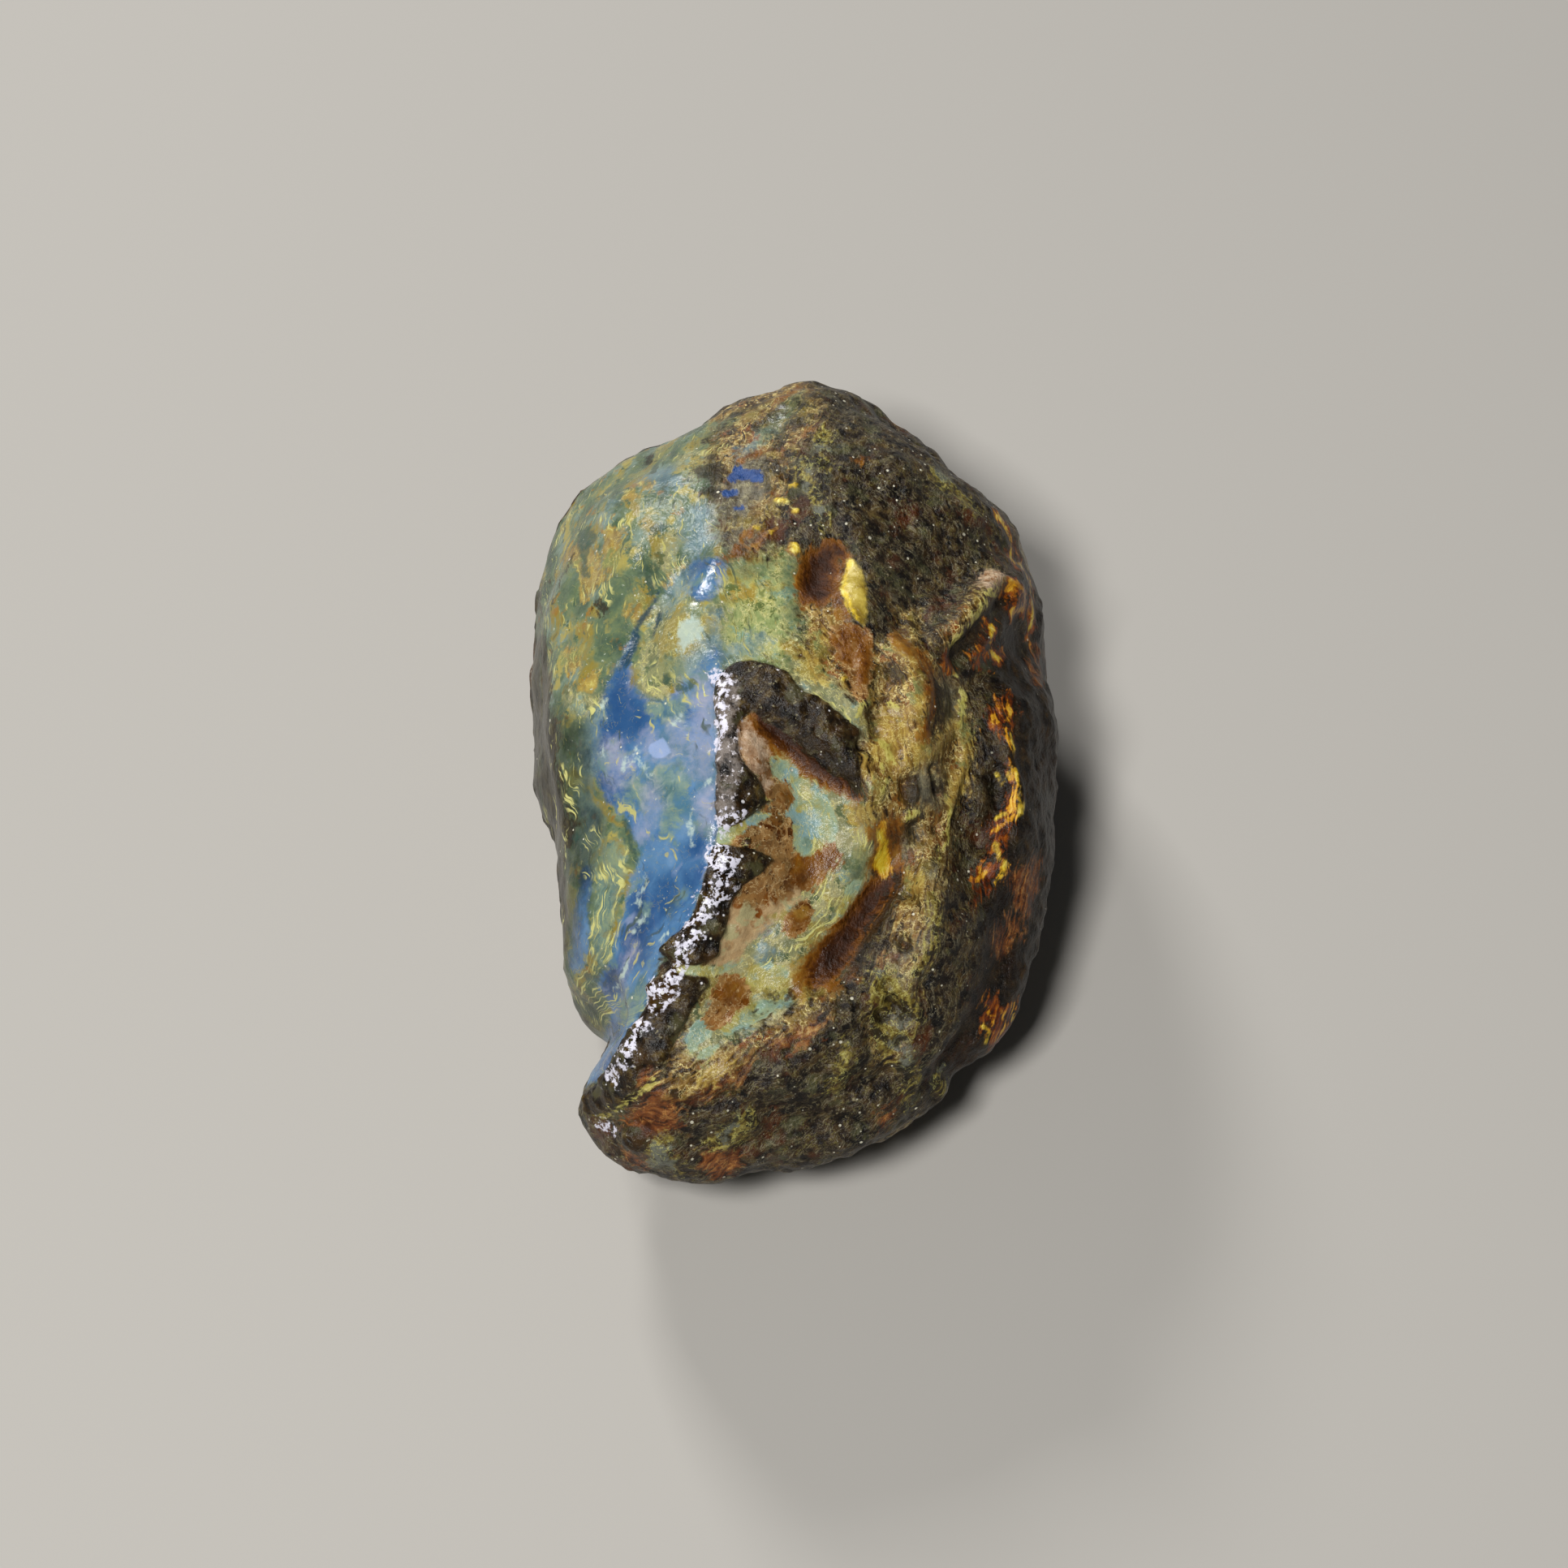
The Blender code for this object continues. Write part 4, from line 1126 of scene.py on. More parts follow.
# A painted sheen with white glints on the hook's left strip.
HOOK_GLINTS = [
    [(884, 850), (898, 846), (912, 852), (908, 884), (910, 930), (914, 950), (905, 975), (908, 1000),
     (890, 1016), (883, 1000), (884, 920)],
]
patch("painted_sheen", *HOOK_GLINTS)
HOOK_STRAW = [
    [(912, 972), (924, 966), (934, 980)], [(924, 976), (938, 992)], [(905, 1050), (925, 1052), (940, 1056)],
]
streak("lace", 0.4, *HOOK_STRAW)
HOOK_TIPS = [
    [(908, 884), (916, 876), (924, 874), (934, 880), (928, 888), (920, 892), (910, 896)],
    [(900, 1074), (912, 1062), (922, 1066), (910, 1080)],
]
patch("tan", *HOOK_TIPS)
OLIVE_SLIVER = [
    (1010, 850), (1024, 846), (1040, 856), (1052, 868), (1062, 884), (1064, 902), (1052, 906), (1036, 896),
    (1022, 884), (1012, 868),
]
patch("verdigris", OLIVE_SLIVER)
SLIVER_THREADS = [(1010, 860), (1028, 876), (1046, 894)]
streak("fleck", 1.2, SLIVER_THREADS)

# ---------------------------------------------------------------------------------------------------------
# The sides that face away: bark all round, worn through here and there to windows of the same resin, as the
# sea leaves it. Each window is (matter, x, y, z, radius) in millimetres, and its edge is ragged.
FAR_WINDOWS = [
    ("teal", -17.5, 16.0, 10.0, 4.2), ("blue", -16.5, 20.0, 13.5, 2.2), ("khaki", -18.5, 5.0, 8.0, 3.0),
    ("tan", -4.0, 29.5, 12.0, 4.8), ("grey", -3.0, 30.0, 13.0, 2.4), ("russet", 6.0, 28.5, 14.0, 4.0),
    ("tan", 16.0, 17.0, 14.0, 3.8), ("russet", 18.5, 6.0, 9.0, 3.8), ("tan", 17.5, -9.0, 6.5, 3.4),
    ("ember_and_glow", 18.8, 1.0, 7.0, 1.6), ("russet", -16.5, -8.0, 5.0, 3.4), ("gold", 18.0, 12.0, 8.0, 2.0),
    ("teal", -17.0, -2.0, 6.5, 2.8), ("tan", -12.0, -22.0, 5.5, 3.0), ("teal", -3.0, -28.5, 6.0, 2.8),
    ("tan", 6.5, -26.5, 7.0, 3.0), ("russet", 12.0, 22.0, 8.0, 4.0), ("lace", 2.0, 27.5, 7.0, 2.6),
    ("lace", 9.5, 25.5, 10.5, 2.4), ("tan", -12.0, 22.0, 6.0, 3.8), ("russet", -17.8, 10.5, 4.5, 3.0),
    ("teal", -8.0, 20.0, 1.5, 3.4), ("tan", -9.0, -20.0, 1.5, 3.4), ("russet", 11.0, 6.0, 1.0, 4.0),
]
ragged = unevenness(points, 4.2, 7) + 0.7 * unevenness(points, 1.6, 14)
for matter, x, y, z, radius in FAR_WINDOWS:
    away = np.linalg.norm(points - np.array((x, y, z)), axis=1)
    reached = np.nonzero((away < radius + REACH) & (facing < 0.35))[0]
    mark(matter, reached, 0.75 * radius - away[reached] + 1.8 * ragged[reached])

# The dome's resin goes on round the rim for a few millimetres before the bark takes over.
DOME_RIM = [(860, 530), (800, 545), (740, 570), (690, 615), (652, 690), (636, 780)]
away = distance_to(points, lay(DOME_RIM)[1])
reached = np.nonzero(away < REACH)[0]
mark("teal", reached, 1.5 + 0.8 * ragged[reached] - away[reached])

# ---------------------------------------------------------------------------------------------------------
# The relief of the bark and the polish of the resin, all over. Bark is rough and scaly and stays dull,
# while the sea has worn the bare resin smooth, so each matter has its share of polish and of clearness.


def drawn_out(width, length, shift=0):
    """Noise drawn out along the grain, -1 to 1: strands of this width and length in millimetres."""
    return unevenness(grain / (length, width, 1.0), 1.0, shift)


fibre = drawn_out(0.6, 4.0, 1)
strand = drawn_out(1.5, 9.0, 2)
POLISH = {
    "teal": 0.45, "blue": 0.55, "lilac_and_reflection": 0.55, "haze": 0.4, "olive": 0.4, "khaki": 0.4, "moss": 0.5,
    "gold": 0.4, "teal_over": 0.32, "rust": 0.35, "tan": 0.2, "honey": 0.3, "painted_glow": 0.4, "lens": 0.4,
    "ember_and_glow": 0.25, "grey": 0.15, "lace": 0.1, "sapphire": 0.2, "russet": 0.1, "amber": 0.3, "bead": 1.0,
}
polish = np.zeros(len(points))
for matter, share in POLISH.items():
    polish = np.maximum(polish, share * smooth_step(fields[matter], -0.3, 0.3))
for matter in ("soot_and_shade", "crust"):
    polish *= 1 - 0.7 * smooth_step(fields[matter], -0.1, 0.2)
polish = np.maximum(polish, 0.2 * smooth_step(fields["crust"], -0.1, 0.3))
polish = np.maximum(polish, 0.6 * smooth_step(fields["painted_glints"], -0.2, 0.1))
CLEARNESS = {
    "teal": 0.12, "blue": 0.12, "lilac_and_reflection": 0.1, "olive": 0.12, "teal_over": 0.2, "moss": 0.12, "rust": 0.15,
    "umber_and_shadow": 0.2, "honey": 0.3, "painted_glow": 0.15, "ember_and_glow": 0.15, "gold": 0.12,
}
clear = np.zeros(len(points))
for matter, share in CLEARNESS.items():
    clear = np.maximum(clear, share * smooth_step(fields[matter], -0.1, 0.4))
for matter in ("soot_and_shade", "crust"):
    clear *= 1 - smooth_step(fields[matter], -0.2, 0.1)

SMOOTH_AT = 0.6  # the polish at which no bark relief is left
barky = 1 - np.minimum(polish / SMOOTH_AT, 1.0)
uneven = 1 - 0.95 * smooth_step(fields["bead"], -0.6, 0.9)
rise += uneven * barky * (
    0.26 * unevenness(points, 3.6, 8) + 0.17 * unevenness(points, 1.5, 9)
    + 0.15 * unevenness(points, 0.75, 11) + 0.10 * strand + 0.05 * fibre
)
rise += uneven * (1 - barky) * (
    0.10 * unevenness(points, 3.8, 10) + 0.05 * unevenness(points, 1.3, 12)
    + 0.03 * unevenness(points, 0.7, 13) + 0.02 * fibre + 0.03 * strand
)
# The worn flat that the nugget rests on keeps its level, and the relief begins just above it.
rise *= smooth_step(points[:, 2], 0.15, 1.5)

for vertex, point, normal, height in zip(form.verts, points, normals, rise):
    vertex.co = Vector(point + normal * height)
    vertex.co.z = max(vertex.co.z, 0.0)
bmesh.ops.scale(form, vec=(MM, MM, MM), verts=form.verts[:])
form.to_mesh(mesh)
form.free()
# The honey in the groove and the pit is duller still where bark dust lies on it.
fields["polish"] = polish - 0.5 * smooth_step(fields["umber_and_shadow"], -0.1, 0.3) * barky
fields["clear"] = clear
fields["along"] = along
fields["across"] = across
for matter, field in fields.items():
    attribute = mesh.attributes.new(matter, "FLOAT", "POINT")
    attribute.data.foreach_set("value", field.astype(np.float32))
mesh.shade_smooth()

# ---------------------------------------------------------------------------------------------------------
# The material: raw blue amber, a clear honey fossil resin that glows blue-green at its surface in daylight.
# The sea has worn it to a waxy shine where it is bare, and the bark that is left on it is dull and gritty.
amber = bpy.data.materials.new("raw_blue_amber_sea_worn")
amber.use_nodes = True
tree = amber.node_tree
tree.nodes.clear()
PER_MM = 1000.0


def linear(code):
    """An sRGB hex colour as the linear colour that the renderer wants."""
    parts = [int(code[start:start + 2], 16) / 255 for start in (1, 3, 5)]
    return (*[part / 12.92 if part <= 0.04045 else ((part + 0.055) / 1.055) ** 2.4 for part in parts], 1.0)


def add(kind, feeds, **settings):
    """Adds a node; feeds maps its inputs to a value or to the socket that is linked to it."""
    node = tree.nodes.new(kind)
    for name, value in settings.items():
        setattr(node, name, value)
    for name, value in feeds.items():
        if isinstance(value, bpy.types.NodeSocket):
            tree.links.new(value, node.inputs[name])
        else:
            node.inputs[name].default_value = value
    return node


place = add("ShaderNodeTexCoord", {}).outputs["Object"]
bend = add("ShaderNodeTexNoise", {"Vector": place, "Scale": PER_MM / 2.4, "Detail": 2.0}).outputs["Color"]
bent = add(
    "ShaderNodeVectorMath", {0: bend, 1: (1.8, 1.2, 0.0), 2: (-0.9, -0.6, 0.0)}, operation="MULTIPLY_ADD"
).outputs[0]
lengthways = add("ShaderNodeAttribute", {}, attribute_name="along").outputs["Fac"]
crossways = add("ShaderNodeAttribute", {}, attribute_name="across").outputs["Fac"]
straight = add("ShaderNodeCombineXYZ", {"X": lengthways, "Y": crossways}).outputs[0]
with_grain = add("ShaderNodeVectorMath", {0: straight, 1: bent}, operation="ADD").outputs[0]

# The noises that every matter is marbled, stained and veined with: spots of a size, and streaks of a width
# and a length along the grain, in millimetres.
clouds, islets, mottle, dapple, grains = [
    add(
        "ShaderNodeTexNoise", {"Vector": place, "Scale": PER_MM / size, "Detail": 4.0, "Roughness": 0.6}
    ).outputs["Fac"]
    for size in (3.4, 2.3, 1.3, 0.9, 0.42)
]
hairs, threads, fibres, flows, strands = [
    add("ShaderNodeTexNoise", {"Scale": 1.0, "Detail": 3.0, "Roughness": 0.55, "Vector": add(
        "ShaderNodeVectorMath", {0: with_grain, 1: (1 / length, 1 / width, 0.0)}, operation="MULTIPLY"
    ).outputs[0]}).outputs["Fac"]
    for width, length in ((0.12, 1.6), (0.2, 1.8), (0.42, 3.2), (1.0, 3.6), (1.6, 9.0))
]


def marbled(spots, lines, share, *shades):
    """Shades of one matter: part after its spots, part after its lines."""
    mixed = add("ShaderNodeMix", {0: share, 2: spots, 3: lines}).outputs[0]
    ramp = add("ShaderNodeValToRGB", {"Fac": mixed})
    stops = ramp.color_ramp.elements
    for _ in shades[2:]:
        stops.new(0.5)
    for stop, position, shade in zip(stops, np.linspace(0.36, 0.64, len(shades)), shades):
        stop.position = position
        stop.color = linear(shade)
    return ramp.outputs["Color"]


def stained(under, shade, noise, low, high):
    """A colour with another shade over it where the noise is strong; low near high gives it an edge."""
    share = add("ShaderNodeMapRange", {"Value": noise, "From Min": low, "From Max": high}).outputs[0]
    return add("ShaderNodeMix", {0: share, 6: under, 7: linear(shade)}, data_type="RGBA").outputs[2]


def veined(under, shade, noise, level, width, strength=1.0):
    """A colour with thin crooked lines of another shade where the noise passes a level, worn in places."""
    off = add("ShaderNodeMath", {0: noise, 1: level}, operation="SUBTRACT").outputs[0]
    apart = add("ShaderNodeMath", {0: off}, operation="ABSOLUTE").outputs[0]
    worn = add(
        "ShaderNodeMapRange", {"Value": dapple, "From Min": 0.4, "From Max": 0.56, "To Max": strength}
    ).outputs[0]
    share = add(
        "ShaderNodeMapRange", {"Value": apart, "From Min": width, "From Max": 0.3 * width, "To Max": worn}
    ).outputs[0]
    return add("ShaderNodeMix", {0: share, 6: under, 7: linear(shade)}, data_type="RGBA").outputs[2]


def specked(under, shade, spacing, radius, strength=1.0):
    """A colour with tiny specks of all sizes up to a radius, this far apart, in millimetres."""
    cells = add("ShaderNodeTexVoronoi", {"Vector": place, "Scale": PER_MM / spacing})
    edge = radius / spacing
    away = add(
        "ShaderNodeMath", {0: cells.outputs["Color"], 1: -1.6 * edge, 2: cells.outputs["Distance"]},
        operation="MULTIPLY_ADD",
    ).outputs[0]
    share = add(
        "ShaderNodeMapRange",
        {"Value": away, "From Min": -0.5 * edge, "From Max": -0.8 * edge, "To Max": strength},
    ).outputs[0]
    return add("ShaderNodeMix", {0: share, 6: under, 7: linear(shade)}, data_type="RGBA").outputs[2]


def celled(under, dark, light, size, strength):
    """A colour with round cells, each a little darker or lighter than the next, and pale walls."""
    cells = add("ShaderNodeTexVoronoi", {"Vector": place, "Scale": PER_MM / size})
    level = add(
        "ShaderNodeMapRange", {"Value": cells.outputs["Color"], "From Min": 0.3, "From Max": 0.7}
    ).outputs[0]
    shade = add("ShaderNodeMix", {0: level, 6: linear(dark), 7: linear(light)}, data_type="RGBA").outputs[2]
    filled = add("ShaderNodeMix", {0: strength, 6: under, 7: shade}, data_type="RGBA").outputs[2]
    wall = add(
        "ShaderNodeMapRange",
        {"Value": cells.outputs["Distance"], "From Min": 0.40, "From Max": 0.50, "To Max": strength},
    ).outputs[0]
    return add("ShaderNodeMix", {0: wall, 6: filled, 7: linear(light)}, data_type="RGBA").outputs[2]


tear = add("ShaderNodeMath", {0: grains, 1: 0.8, 2: mottle}, operation="MULTIPLY_ADD").outputs[0]
tear = add("ShaderNodeMath", {0: tear, 1: threads}, operation="ADD").outputs[0]
tear = add("ShaderNodeMath", {0: tear, 1: 0.7, 2: -0.98}, operation="MULTIPLY_ADD").outputs[0]


def laid(under, over, matter, soft, torn=0.0, at=0.0, strength=1.0):
    """One matter over another: its edge is so many millimetres soft, torn and inside its outline."""
    inside = add("ShaderNodeAttribute", {}, attribute_name=matter).outputs["Fac"]
    edge = add("ShaderNodeMath", {0: tear, 1: torn, 2: inside}, operation="MULTIPLY_ADD").outputs[0]
    share = add(
        "ShaderNodeMapRange",
        {"Value": edge, "From Min": at - soft, "From Max": at + soft, "To Max": strength},
        interpolation_type="SMOOTHSTEP",
    ).outputs[0]
    return add("ShaderNodeMix", {0: share, 6: under, 7: over}, data_type="RGBA").outputs[2]


# The bark: dark warm browns, covered with olive and tan fibres and grains, and pale specks painted as
# glints.
bark = marbled(dapple, fibres, 0.35, "#0c0704", "#1a1108", "#2b1f10", "#403018", "#5e4d2a")
bark = stained(bark, "#4a260d", clouds, 0.54, 0.64)
bark = stained(bark, "#44432a", islets, 0.54, 0.66)
bark = stained(bark, "#0a0603", mottle, 0.56, 0.62)
bark = veined(bark, "#77703a", mottle, 0.5, 0.012, 0.6)
bark = veined(bark, "#7d7358", dapple, 0.5, 0.014, 0.6)
bark = veined(bark, "#948c70", threads, 0.5, 0.02, 0.45)
bark = stained(bark, "#857b5e", grains, 0.63, 0.72)
bark = specked(bark, "#d8d3bc", 0.7, 0.15, 0.8)
colour = bark

# Painted shade on the shaded flank: its bark darkened to nearly black.
painted_flank_shade = marbled(dapple, fibres, 0.35, "#080402", "#130b05", "#22160a", "#382712")
colour = laid(colour, painted_flank_shade, "painted_flank_shade", 1.5, 4.0, strength=0.9)

# Red-brown bark, where it is thin.
russet = marbled(dapple, threads, 0.6, "#221006", "#48230c", "#6c3914", "#8b5426", "#ad7e46")
russet = veined(russet, "#b88244", mottle, 0.5, 0.014, 0.8)
colour = laid(colour, russet, "russet", 0.6, 4.0, strength=0.9)

# The tan and ochre skins: weathered resin with a net of pale threads and dark cracks.
tan = marbled(dapple, threads, 0.55, "#3f290e", "#61441a", "#80622c", "#9a7c40", "#b99c60")
tan = stained(tan, "#80471a", islets, 0.54, 0.64)
tan = stained(tan, "#7c6c30", clouds, 0.54, 0.64)
tan = stained(tan, "#3a2b14", mottle, 0.57, 0.62)
tan = veined(tan, "#e0ce88", mottle, 0.52, 0.018)
tan = veined(tan, "#dcc98a", dapple, 0.5, 0.018, 0.9)
tan = veined(tan, "#2a1a0a", flows, 0.47, 0.022)
colour = laid(colour, tan, "tan", 0.8, 4.2)

# The dome's waxy grey-green, with olive and gold clouds.
teal = marbled(islets, flows, 0.5, "#3d5140", "#52644d", "#677859", "#7f8962", "#9b9c6b")
teal = stained(teal, "#7d9080", clouds, 0.53, 0.62)
teal = stained(teal, "#a89c52", islets, 0.55, 0.62)
teal = stained(teal, "#8f803b", flows, 0.55, 0.62)
teal = stained(teal, "#94722f", mottle, 0.61, 0.66)
teal = stained(teal, "#4b6148", dapple, 0.60, 0.64)
colour = laid(colour, teal, "teal", 0.8, 3.4)

# The blue face and its deep drops.
blue = marbled(clouds, strands, 0.65, "#2b496f", "#395d8b", "#4c769f", "#658bb0", "#889eba")
blue = stained(blue, "#456f80", strands, 0.55, 0.64)
blue = stained(blue, "#8e9cba", flows, 0.57, 0.68)
blue = stained(blue, "#2c4f7c", fibres, 0.60, 0.70)
blue = stained(blue, "#6b8684", islets, 0.57, 0.66)
blue = stained(blue, "#566484", threads, 0.62, 0.70)
colour = laid(colour, blue, "blue", 0.3, 1.6)
colour = laid(colour, linear("#204878"), "deep", 0.9, 1.6, strength=0.8)

# The bright yellow-green of the saddle, and the blue-green islands in the blue.
olive = marbled(dapple, flows, 0.5, "#7b8a52", "#95a266", "#aab074", "#bbb86c", "#c6b85a")
olive = stained(olive, "#86a48c", islets, 0.55, 0.62)
olive = stained(olive, "#a68e40", clouds, 0.54, 0.62)
olive = stained(olive, "#64723f", mottle, 0.58, 0.62)
olive = veined(olive, "#6a7640", flows, 0.48, 0.02, 0.8)
olive = stained(olive, "#737a48", threads, 0.58, 0.64)
olive = veined(olive, "#ded694", mottle, 0.52, 0.014)
olive = veined(olive, "#d8d088", dapple, 0.5, 0.016, 0.8)
olive = stained(olive, "#d8d8a4", grains, 0.66, 0.72)
colour = laid(colour, olive, "olive", 1.4, 4.5, at=0.1)
verdigris = marbled(mottle, threads, 0.6, "#4d6c6c", "#65807c", "#82977f", "#a2a878")
colour = laid(colour, verdigris, "verdigris", 0.5, 3.0, strength=0.8)

# The pale yellow-green flows of the saddle's foot and of the hook's inside.
khaki = marbled(dapple, flows, 0.5, "#727552", "#8a8a62", "#a09b70", "#b4ad80")
khaki = stained(khaki, "#83998c", islets, 0.54, 0.61)
khaki = stained(khaki, "#9c8c48", clouds, 0.54, 0.60)
khaki = stained(khaki, "#5f6a48", mottle, 0.58, 0.62)
khaki = veined(khaki, "#d8d09a", dapple, 0.5, 0.016)
khaki = veined(khaki, "#cfc67c", mottle, 0.52, 0.014)
khaki = stained(khaki, "#e0dcb4", grains, 0.65, 0.70)
colour = laid(colour, khaki, "khaki", 0.6, 3.2, strength=0.9)

# Blue-grey clouds, lilac flows and dark green moss spots, all deep in the resin; the lilac also paints two
# reflections of a window on the blue face.
haze = marbled(dapple, flows, 0.5, "#56707c", "#6b8690", "#819a9e", "#9aa9a4")
colour = laid(colour, haze, "haze", 0.8, 3.6, strength=0.75)
lilac_and_reflection = marbled(mottle, flows, 0.4, "#8292b2", "#979fb9", "#b0adbd")
colour = laid(colour, lilac_and_reflection, "lilac_and_reflection", 0.9, 2.6, strength=0.7)
moss = marbled(dapple, flows, 0.5, "#48594a", "#5b6d54", "#727f58", "#8c9162")
colour = laid(colour, moss, "moss", 0.6, 3.2, strength=0.65)

# Grey weathered bark in the skins.
grey = marbled(dapple, fibres, 0.5, "#2c2820", "#4b463a", "#6c6754", "#8e8970")
grey = veined(grey, "#a8a27a", mottle, 0.48, 0.014)
colour = laid(colour, grey, "grey", 1.0, 4.5, at=0.2, strength=0.9)

# The clear blue-green windows.
window = marbled(mottle, flows, 0.5, "#748e7c", "#8aa692", "#a2b28c", "#b6b270")
window = stained(window, "#8aaaa8", islets, 0.54, 0.61)
window = stained(window, "#b0a65a", clouds, 0.52, 0.58)
window = veined(window, "#d4d4a8", mottle, 0.5, 0.010)
window = veined(window, "#5f7c72", dapple, 0.5, 0.012, 0.6)
window = veined(window, "#cbbf6a", flows, 0.53, 0.010, 0.8)
colour = laid(colour, window, "teal_over", 0.12, 0.8, strength=0.92)

# Golden spots.
gold = marbled(mottle, threads, 0.6, "#7a5c24", "#947434", "#ae9042", "#c6ae56")
gold = stained(gold, "#7b8450", islets, 0.52, 0.60)
gold = veined(gold, "#e2d27c", dapple, 0.5, 0.014)
colour = laid(colour, gold, "gold", 0.35, 3.0, strength=0.78)

# Over the dome and all that lies in it, thin yellow threads, drawn out along the grain, and pale grains.
threaded = veined(colour, "#a89e52", mottle, 0.46, 0.010, 0.4)
threaded = stained(threaded, "#c6bf70", threads, 0.63, 0.68)
threaded = stained(threaded, "#4c5a4a", fibres, 0.62, 0.68)
threaded = stained(threaded, "#bcc3ae", grains, 0.66, 0.72)
colour = laid(colour, threaded, "teal", 0.9, 2.6, strength=0.8)

# The left margin darkens to green murk and then to bark, and yellow flecks lie on it.
murk = marbled(dapple, flows, 0.5, "#1c241a", "#2b3526", "#3d4934", "#566040")
colour = laid(colour, murk, "murk", 1.2, 3.0, strength=0.75)
shade = marbled(dapple, threads, 0.5, "#100b05", "#1f180b", "#332a14", "#4f4522")
colour = laid(colour, shade, "shade", 0.6, 4.5, strength=0.92)
flecked = stained(colour, "#d0cc80", hairs, 0.54, 0.59)
colour = laid(colour, flecked, "fleck", 0.3, 0.6)

# The rusty skin with its scales and cells, its rosy part, and the honey cores in it.
rust = marbled(dapple, flows, 0.3, "#3a1d07", "#57310d", "#734716", "#8e5f2a", "#ab8048")
rust = stained(rust, "#8a4c0a", clouds, 0.50, 0.58)
rust = stained(rust, "#7a5a2c", islets, 0.55, 0.62)
rust = celled(rust, "#52300f", "#a8804c", 1.3, 0.45)
rust = stained(rust, "#562c08", mottle, 0.56, 0.62)
rust = stained(rust, "#4e2c10", grains, 0.58, 0.66)
rust = stained(rust, "#b88f5a", threads, 0.60, 0.66)
rust = veined(rust, "#dcc08a", dapple, 0.5, 0.018, 0.9)
colour = laid(colour, rust, "rust", 0.12, 1.6)
cells = celled(rust, "#83480f", "#c8ad80", 1.1, 0.7)
cells = stained(cells, "#b3aa7c", islets, 0.54, 0.58)
colour = laid(colour, cells, "cells", 0.4, 2.4, strength=0.9)
rose = marbled(dapple, flows, 0.4, "#a07e60", "#b99878", "#ccb092", "#decaae")
rose = stained(rose, "#94683e", mottle, 0.55, 0.61)
rose = stained(rose, "#7c5430", islets, 0.58, 0.63)
rose = veined(rose, "#dccab0", dapple, 0.5, 0.014)
colour = laid(colour, rose, "rose", 0.5, 2.8, strength=0.85)
honey = marbled(mottle, flows, 0.5, "#4a2405", "#6f3f0a", "#8c5814", "#a87c30")
colour = laid(colour, honey, "honey", 0.35, 2.4, strength=0.85)

# Dark honey, lighter at its edge and nearly black where it is deepest; the same shades paint the shadow
# under the hook's edge and beside the scales and the fold.
umber_and_shadow = marbled(mottle, fibres, 0.4, "#6b3d08", "#865210", "#a06a1e")
colour = laid(colour, umber_and_shadow, "umber_and_shadow", 0.3, 1.8)
umber_and_shadow = marbled(mottle, fibres, 0.4, "#401e02", "#5c2e03", "#7a4408")
colour = laid(colour, umber_and_shadow, "umber_and_shadow", 0.5, 2.2, at=0.35)
umber_and_shadow = marbled(dapple, fibres, 0.3, "#180901", "#2a1203", "#422108")
colour = laid(colour, umber_and_shadow, "umber_and_shadow", 0.6, 2.2, at=0.65, strength=0.8)

# The olive veins and the lacy crust of the near end.
lace = marbled(grains, threads, 0.5, "#3a2c0c", "#5e4e1e", "#7e7030", "#a89c50")
lace = stained(lace, "#2c2614", mottle, 0.52, 0.57)
lace = stained(lace, "#66685a", islets, 0.54, 0.60)
lace = veined(lace, "#c4c070", dapple, 0.5, 0.016)
colour = laid(colour, lace, "lace", 0.4, 4.0, strength=0.9)

# The black crust of the hook and the ridge, with painted glints and a painted sheen on its edge, and soot,
# which also paints the shade in hollows and under overhangs.
crust = marbled(dapple, fibres, 0.2, "#080502", "#140c05", "#241808", "#392a11", "#584722")
crust = stained(crust, "#3c280e", clouds, 0.54, 0.64)
crust = veined(crust, "#655d4b", mottle, 0.5, 0.012, 0.6)
crust = stained(crust, "#454127", islets, 0.55, 0.63)
crust = stained(crust, "#857c5e", grains, 0.62, 0.70)
# Pale specks painted as glints on the crust.
crust = specked(crust, "#d9d6d6", 0.7, 0.17)
colour = laid(colour, crust, "crust", 0.08, 0.6)
# Painted sheen and glints on the hook's left strip.
painted_sheen = stained(colour, "#7a7068", dapple, 0.38, 0.56)
painted_sheen = stained(painted_sheen, "#d6cfd2", grains, 0.58, 0.63)
colour = laid(colour, painted_sheen, "painted_sheen", 0.3, 2.0, strength=0.9)
soot_and_shade = marbled(grains, threads, 0.3, "#0f0a04", "#20170a", "#382b14")
colour = laid(colour, soot_and_shade, "soot_and_shade", 0.3, 3.0, strength=0.85)

# The bright chips and lines: straw, ember, amber, the lens, and the glow where light comes out. Their
# orange and yellow is the resin's own colour, brightened into a painted glow where light comes through thin
# edges.
straw = marbled(grains, threads, 0.5, "#94893c", "#bab054", "#dcd27e")
colour = laid(colour, straw, "straw", 0.12, 2.0, strength=0.75)
ember_and_glow = marbled(mottle, threads, 0.5, "#1c0a04", "#401805", "#6a2c07", "#98500c", "#ca8824")
colour = laid(colour, ember_and_glow, "ember_and_glow", 0.35, 3.6, strength=0.95)
chips = marbled(mottle, threads, 0.6, "#8a4a08", "#b8780c", "#d89a20", "#f0c850")
colour = laid(colour, chips, "amber", 0.12, 1.4)
lens = marbled(mottle, flows, 0.6, "#6b5318", "#937c2c", "#b9a348", "#dccb7c")
colour = laid(colour, lens, "lens", 0.2, 0.8)
painted_glow = marbled(mottle, threads, 0.5, "#a67c10", "#d2ac22", "#e8ca3c", "#f6e888")
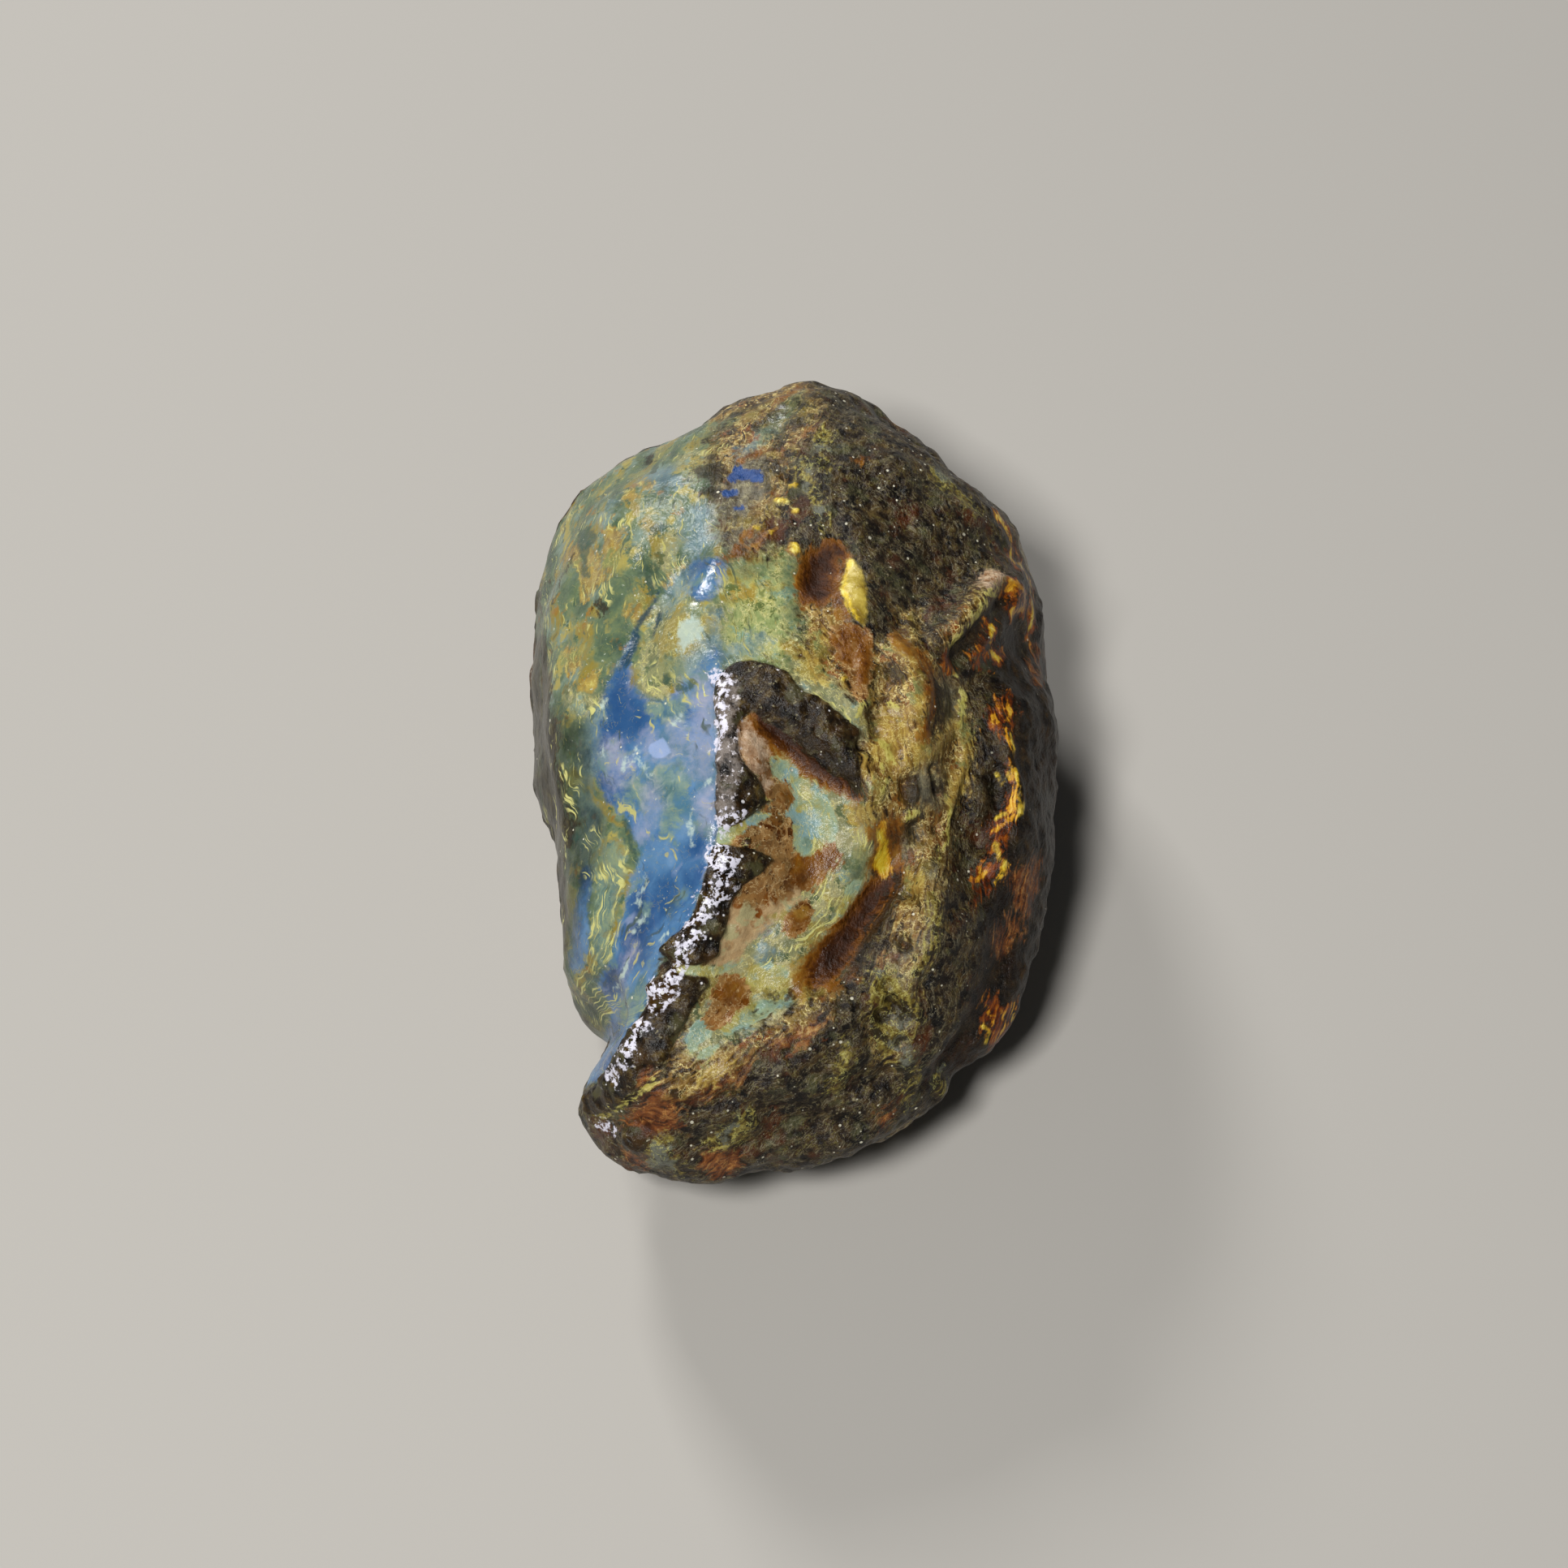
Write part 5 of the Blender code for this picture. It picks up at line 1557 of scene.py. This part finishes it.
colour = laid(colour, painted_glow, "painted_glow", 0.2, 0.8)

# The small marks: cracks, fibres and blue drops in the resin, pale mist, the painted glare streaks on the
# blue face and the painted reflection of a window.
colour = laid(colour, linear("#24404f"), "ink", 0.2, 1.0, strength=0.9)
colour = laid(colour, linear("#344e44"), "pine", 0.2, 1.6, strength=0.75)
sapphire = marbled(mottle, flows, 0.3, "#203a6c", "#305088")
colour = laid(colour, sapphire, "sapphire", 0.15, 1.2)
colour = laid(colour, linear("#bfd2c6"), "mist_and_glare", 0.25, 2.0, strength=0.75)
colour = laid(colour, linear("#a3b8e2"), "painted_reflection", 0.10, 0.2, strength=0.6)

# Painted highlights: white glints painted along the crust's broken edge, and pale specks painted as glints
# on bark and resin all over.
painted_glints = stained(colour, "#e4e1ee", grains, 0.47, 0.52)
colour = laid(colour, painted_glints, "painted_glints", 0.2, 3.0, strength=0.9)
colour = specked(colour, "#eae5cc", 1.1, 0.14, 0.85)

polished = add("ShaderNodeAttribute", {}, attribute_name="polish").outputs["Fac"]
transparent = add("ShaderNodeAttribute", {}, attribute_name="clear").outputs["Fac"]
DULLEST, GLOSSIEST = 0.6, 0.08  # the roughness of dusty bark and of a polished bead
roughness = add(
    "ShaderNodeMapRange", {"Value": polished, "From Min": -0.5, "To Min": DULLEST, "To Max": GLOSSIEST}
).outputs["Result"]

# The bark's grit is up to 0.32 mm deep, and polish takes nearly all of it off the resin.
GRIT_DEPTH = 0.32
grit = add("ShaderNodeMix", {0: 0.3, 2: grains, 3: threads}).outputs[0]
grit = add("ShaderNodeMath", {0: dapple, 1: 0.8, 2: grit}, operation="MULTIPLY_ADD").outputs[0]
bump_depth = add(
    "ShaderNodeMapRange", {"Value": polished, "From Max": SMOOTH_AT, "To Min": 1.0, "To Max": 0.15}
).outputs["Result"]
gritty = add("ShaderNodeBump", {"Height": grit, "Distance": GRIT_DEPTH * MM, "Strength": bump_depth})

AMBER_IOR = 1.54
HONEY = linear("#f0a848")
HONEY_DENSITY = 160.0  # per metre: 6 mm of resin let nearly all of the red through and 40 % of the blue
resin = add(
    "ShaderNodeBsdfPrincipled",
    {
        "Base Color": colour, "Roughness": roughness, "Transmission Weight": transparent, "IOR": AMBER_IOR,
        "Specular IOR Level": 0.25, "Normal": gritty.outputs["Normal"],
    },
)
depth_tint = add("ShaderNodeVolumeAbsorption", {"Color": HONEY, "Density": HONEY_DENSITY})
add(
    "ShaderNodeOutputMaterial",
    {"Surface": resin.outputs["BSDF"], "Volume": depth_tint.outputs["Volume"]},
)
mesh.materials.append(amber)

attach(nugget, "root")
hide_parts("raw_amber")

# ---------------------------------------------------------------------------------------------------------
# The table and the light: a plain sheet of pale matt paper, which mirrors nothing sharply, a soft lamp over
# the viewer's left shoulder and a soft window on the far left.
table = bpy.data.meshes.new("table")
top = bmesh.new()
bmesh.ops.create_grid(top, x_segments=1, y_segments=1, size=2.0)
top.to_mesh(table)
top.free()
floor = bpy.data.objects.new("table", table)
bpy.context.scene.collection.objects.link(floor)
paper = bpy.data.materials.new("matt_paper_white")
paper.use_nodes = True
sheet = paper.node_tree.nodes["Principled BSDF"]
sheet.inputs["Base Color"].default_value = linear("#aeaaa3")
sheet.inputs["Roughness"].default_value = 0.8
table.materials.append(paper)

LIGHTS = {  # its place in metres, its size in metres and its power in watts
    "window": (Vector((-0.22, 0.46, 0.33)), 0.12, 2.2),
    "lamp": (Vector((-0.14, -0.24, 0.53)), 0.12, 3.4),
}
for light_name, (light_place, light_size, light_power) in LIGHTS.items():
    light_data = bpy.data.lights.new(light_name, "AREA")
    light_data.size = light_size
    light_data.energy = light_power
    light = bpy.data.objects.new(light_name, light_data)
    light.location = light_place
    light.rotation_euler = (-light_place).to_track_quat("-Z", "Y").to_euler()
    bpy.context.scene.collection.objects.link(light)
world = bpy.data.worlds.new("room")
world.use_nodes = True
world.node_tree.nodes["Background"].inputs["Color"].default_value = (0.9, 0.95, 1.0, 1.0)
world.node_tree.nodes["Background"].inputs["Strength"].default_value = 0.05
bpy.context.scene.world = world
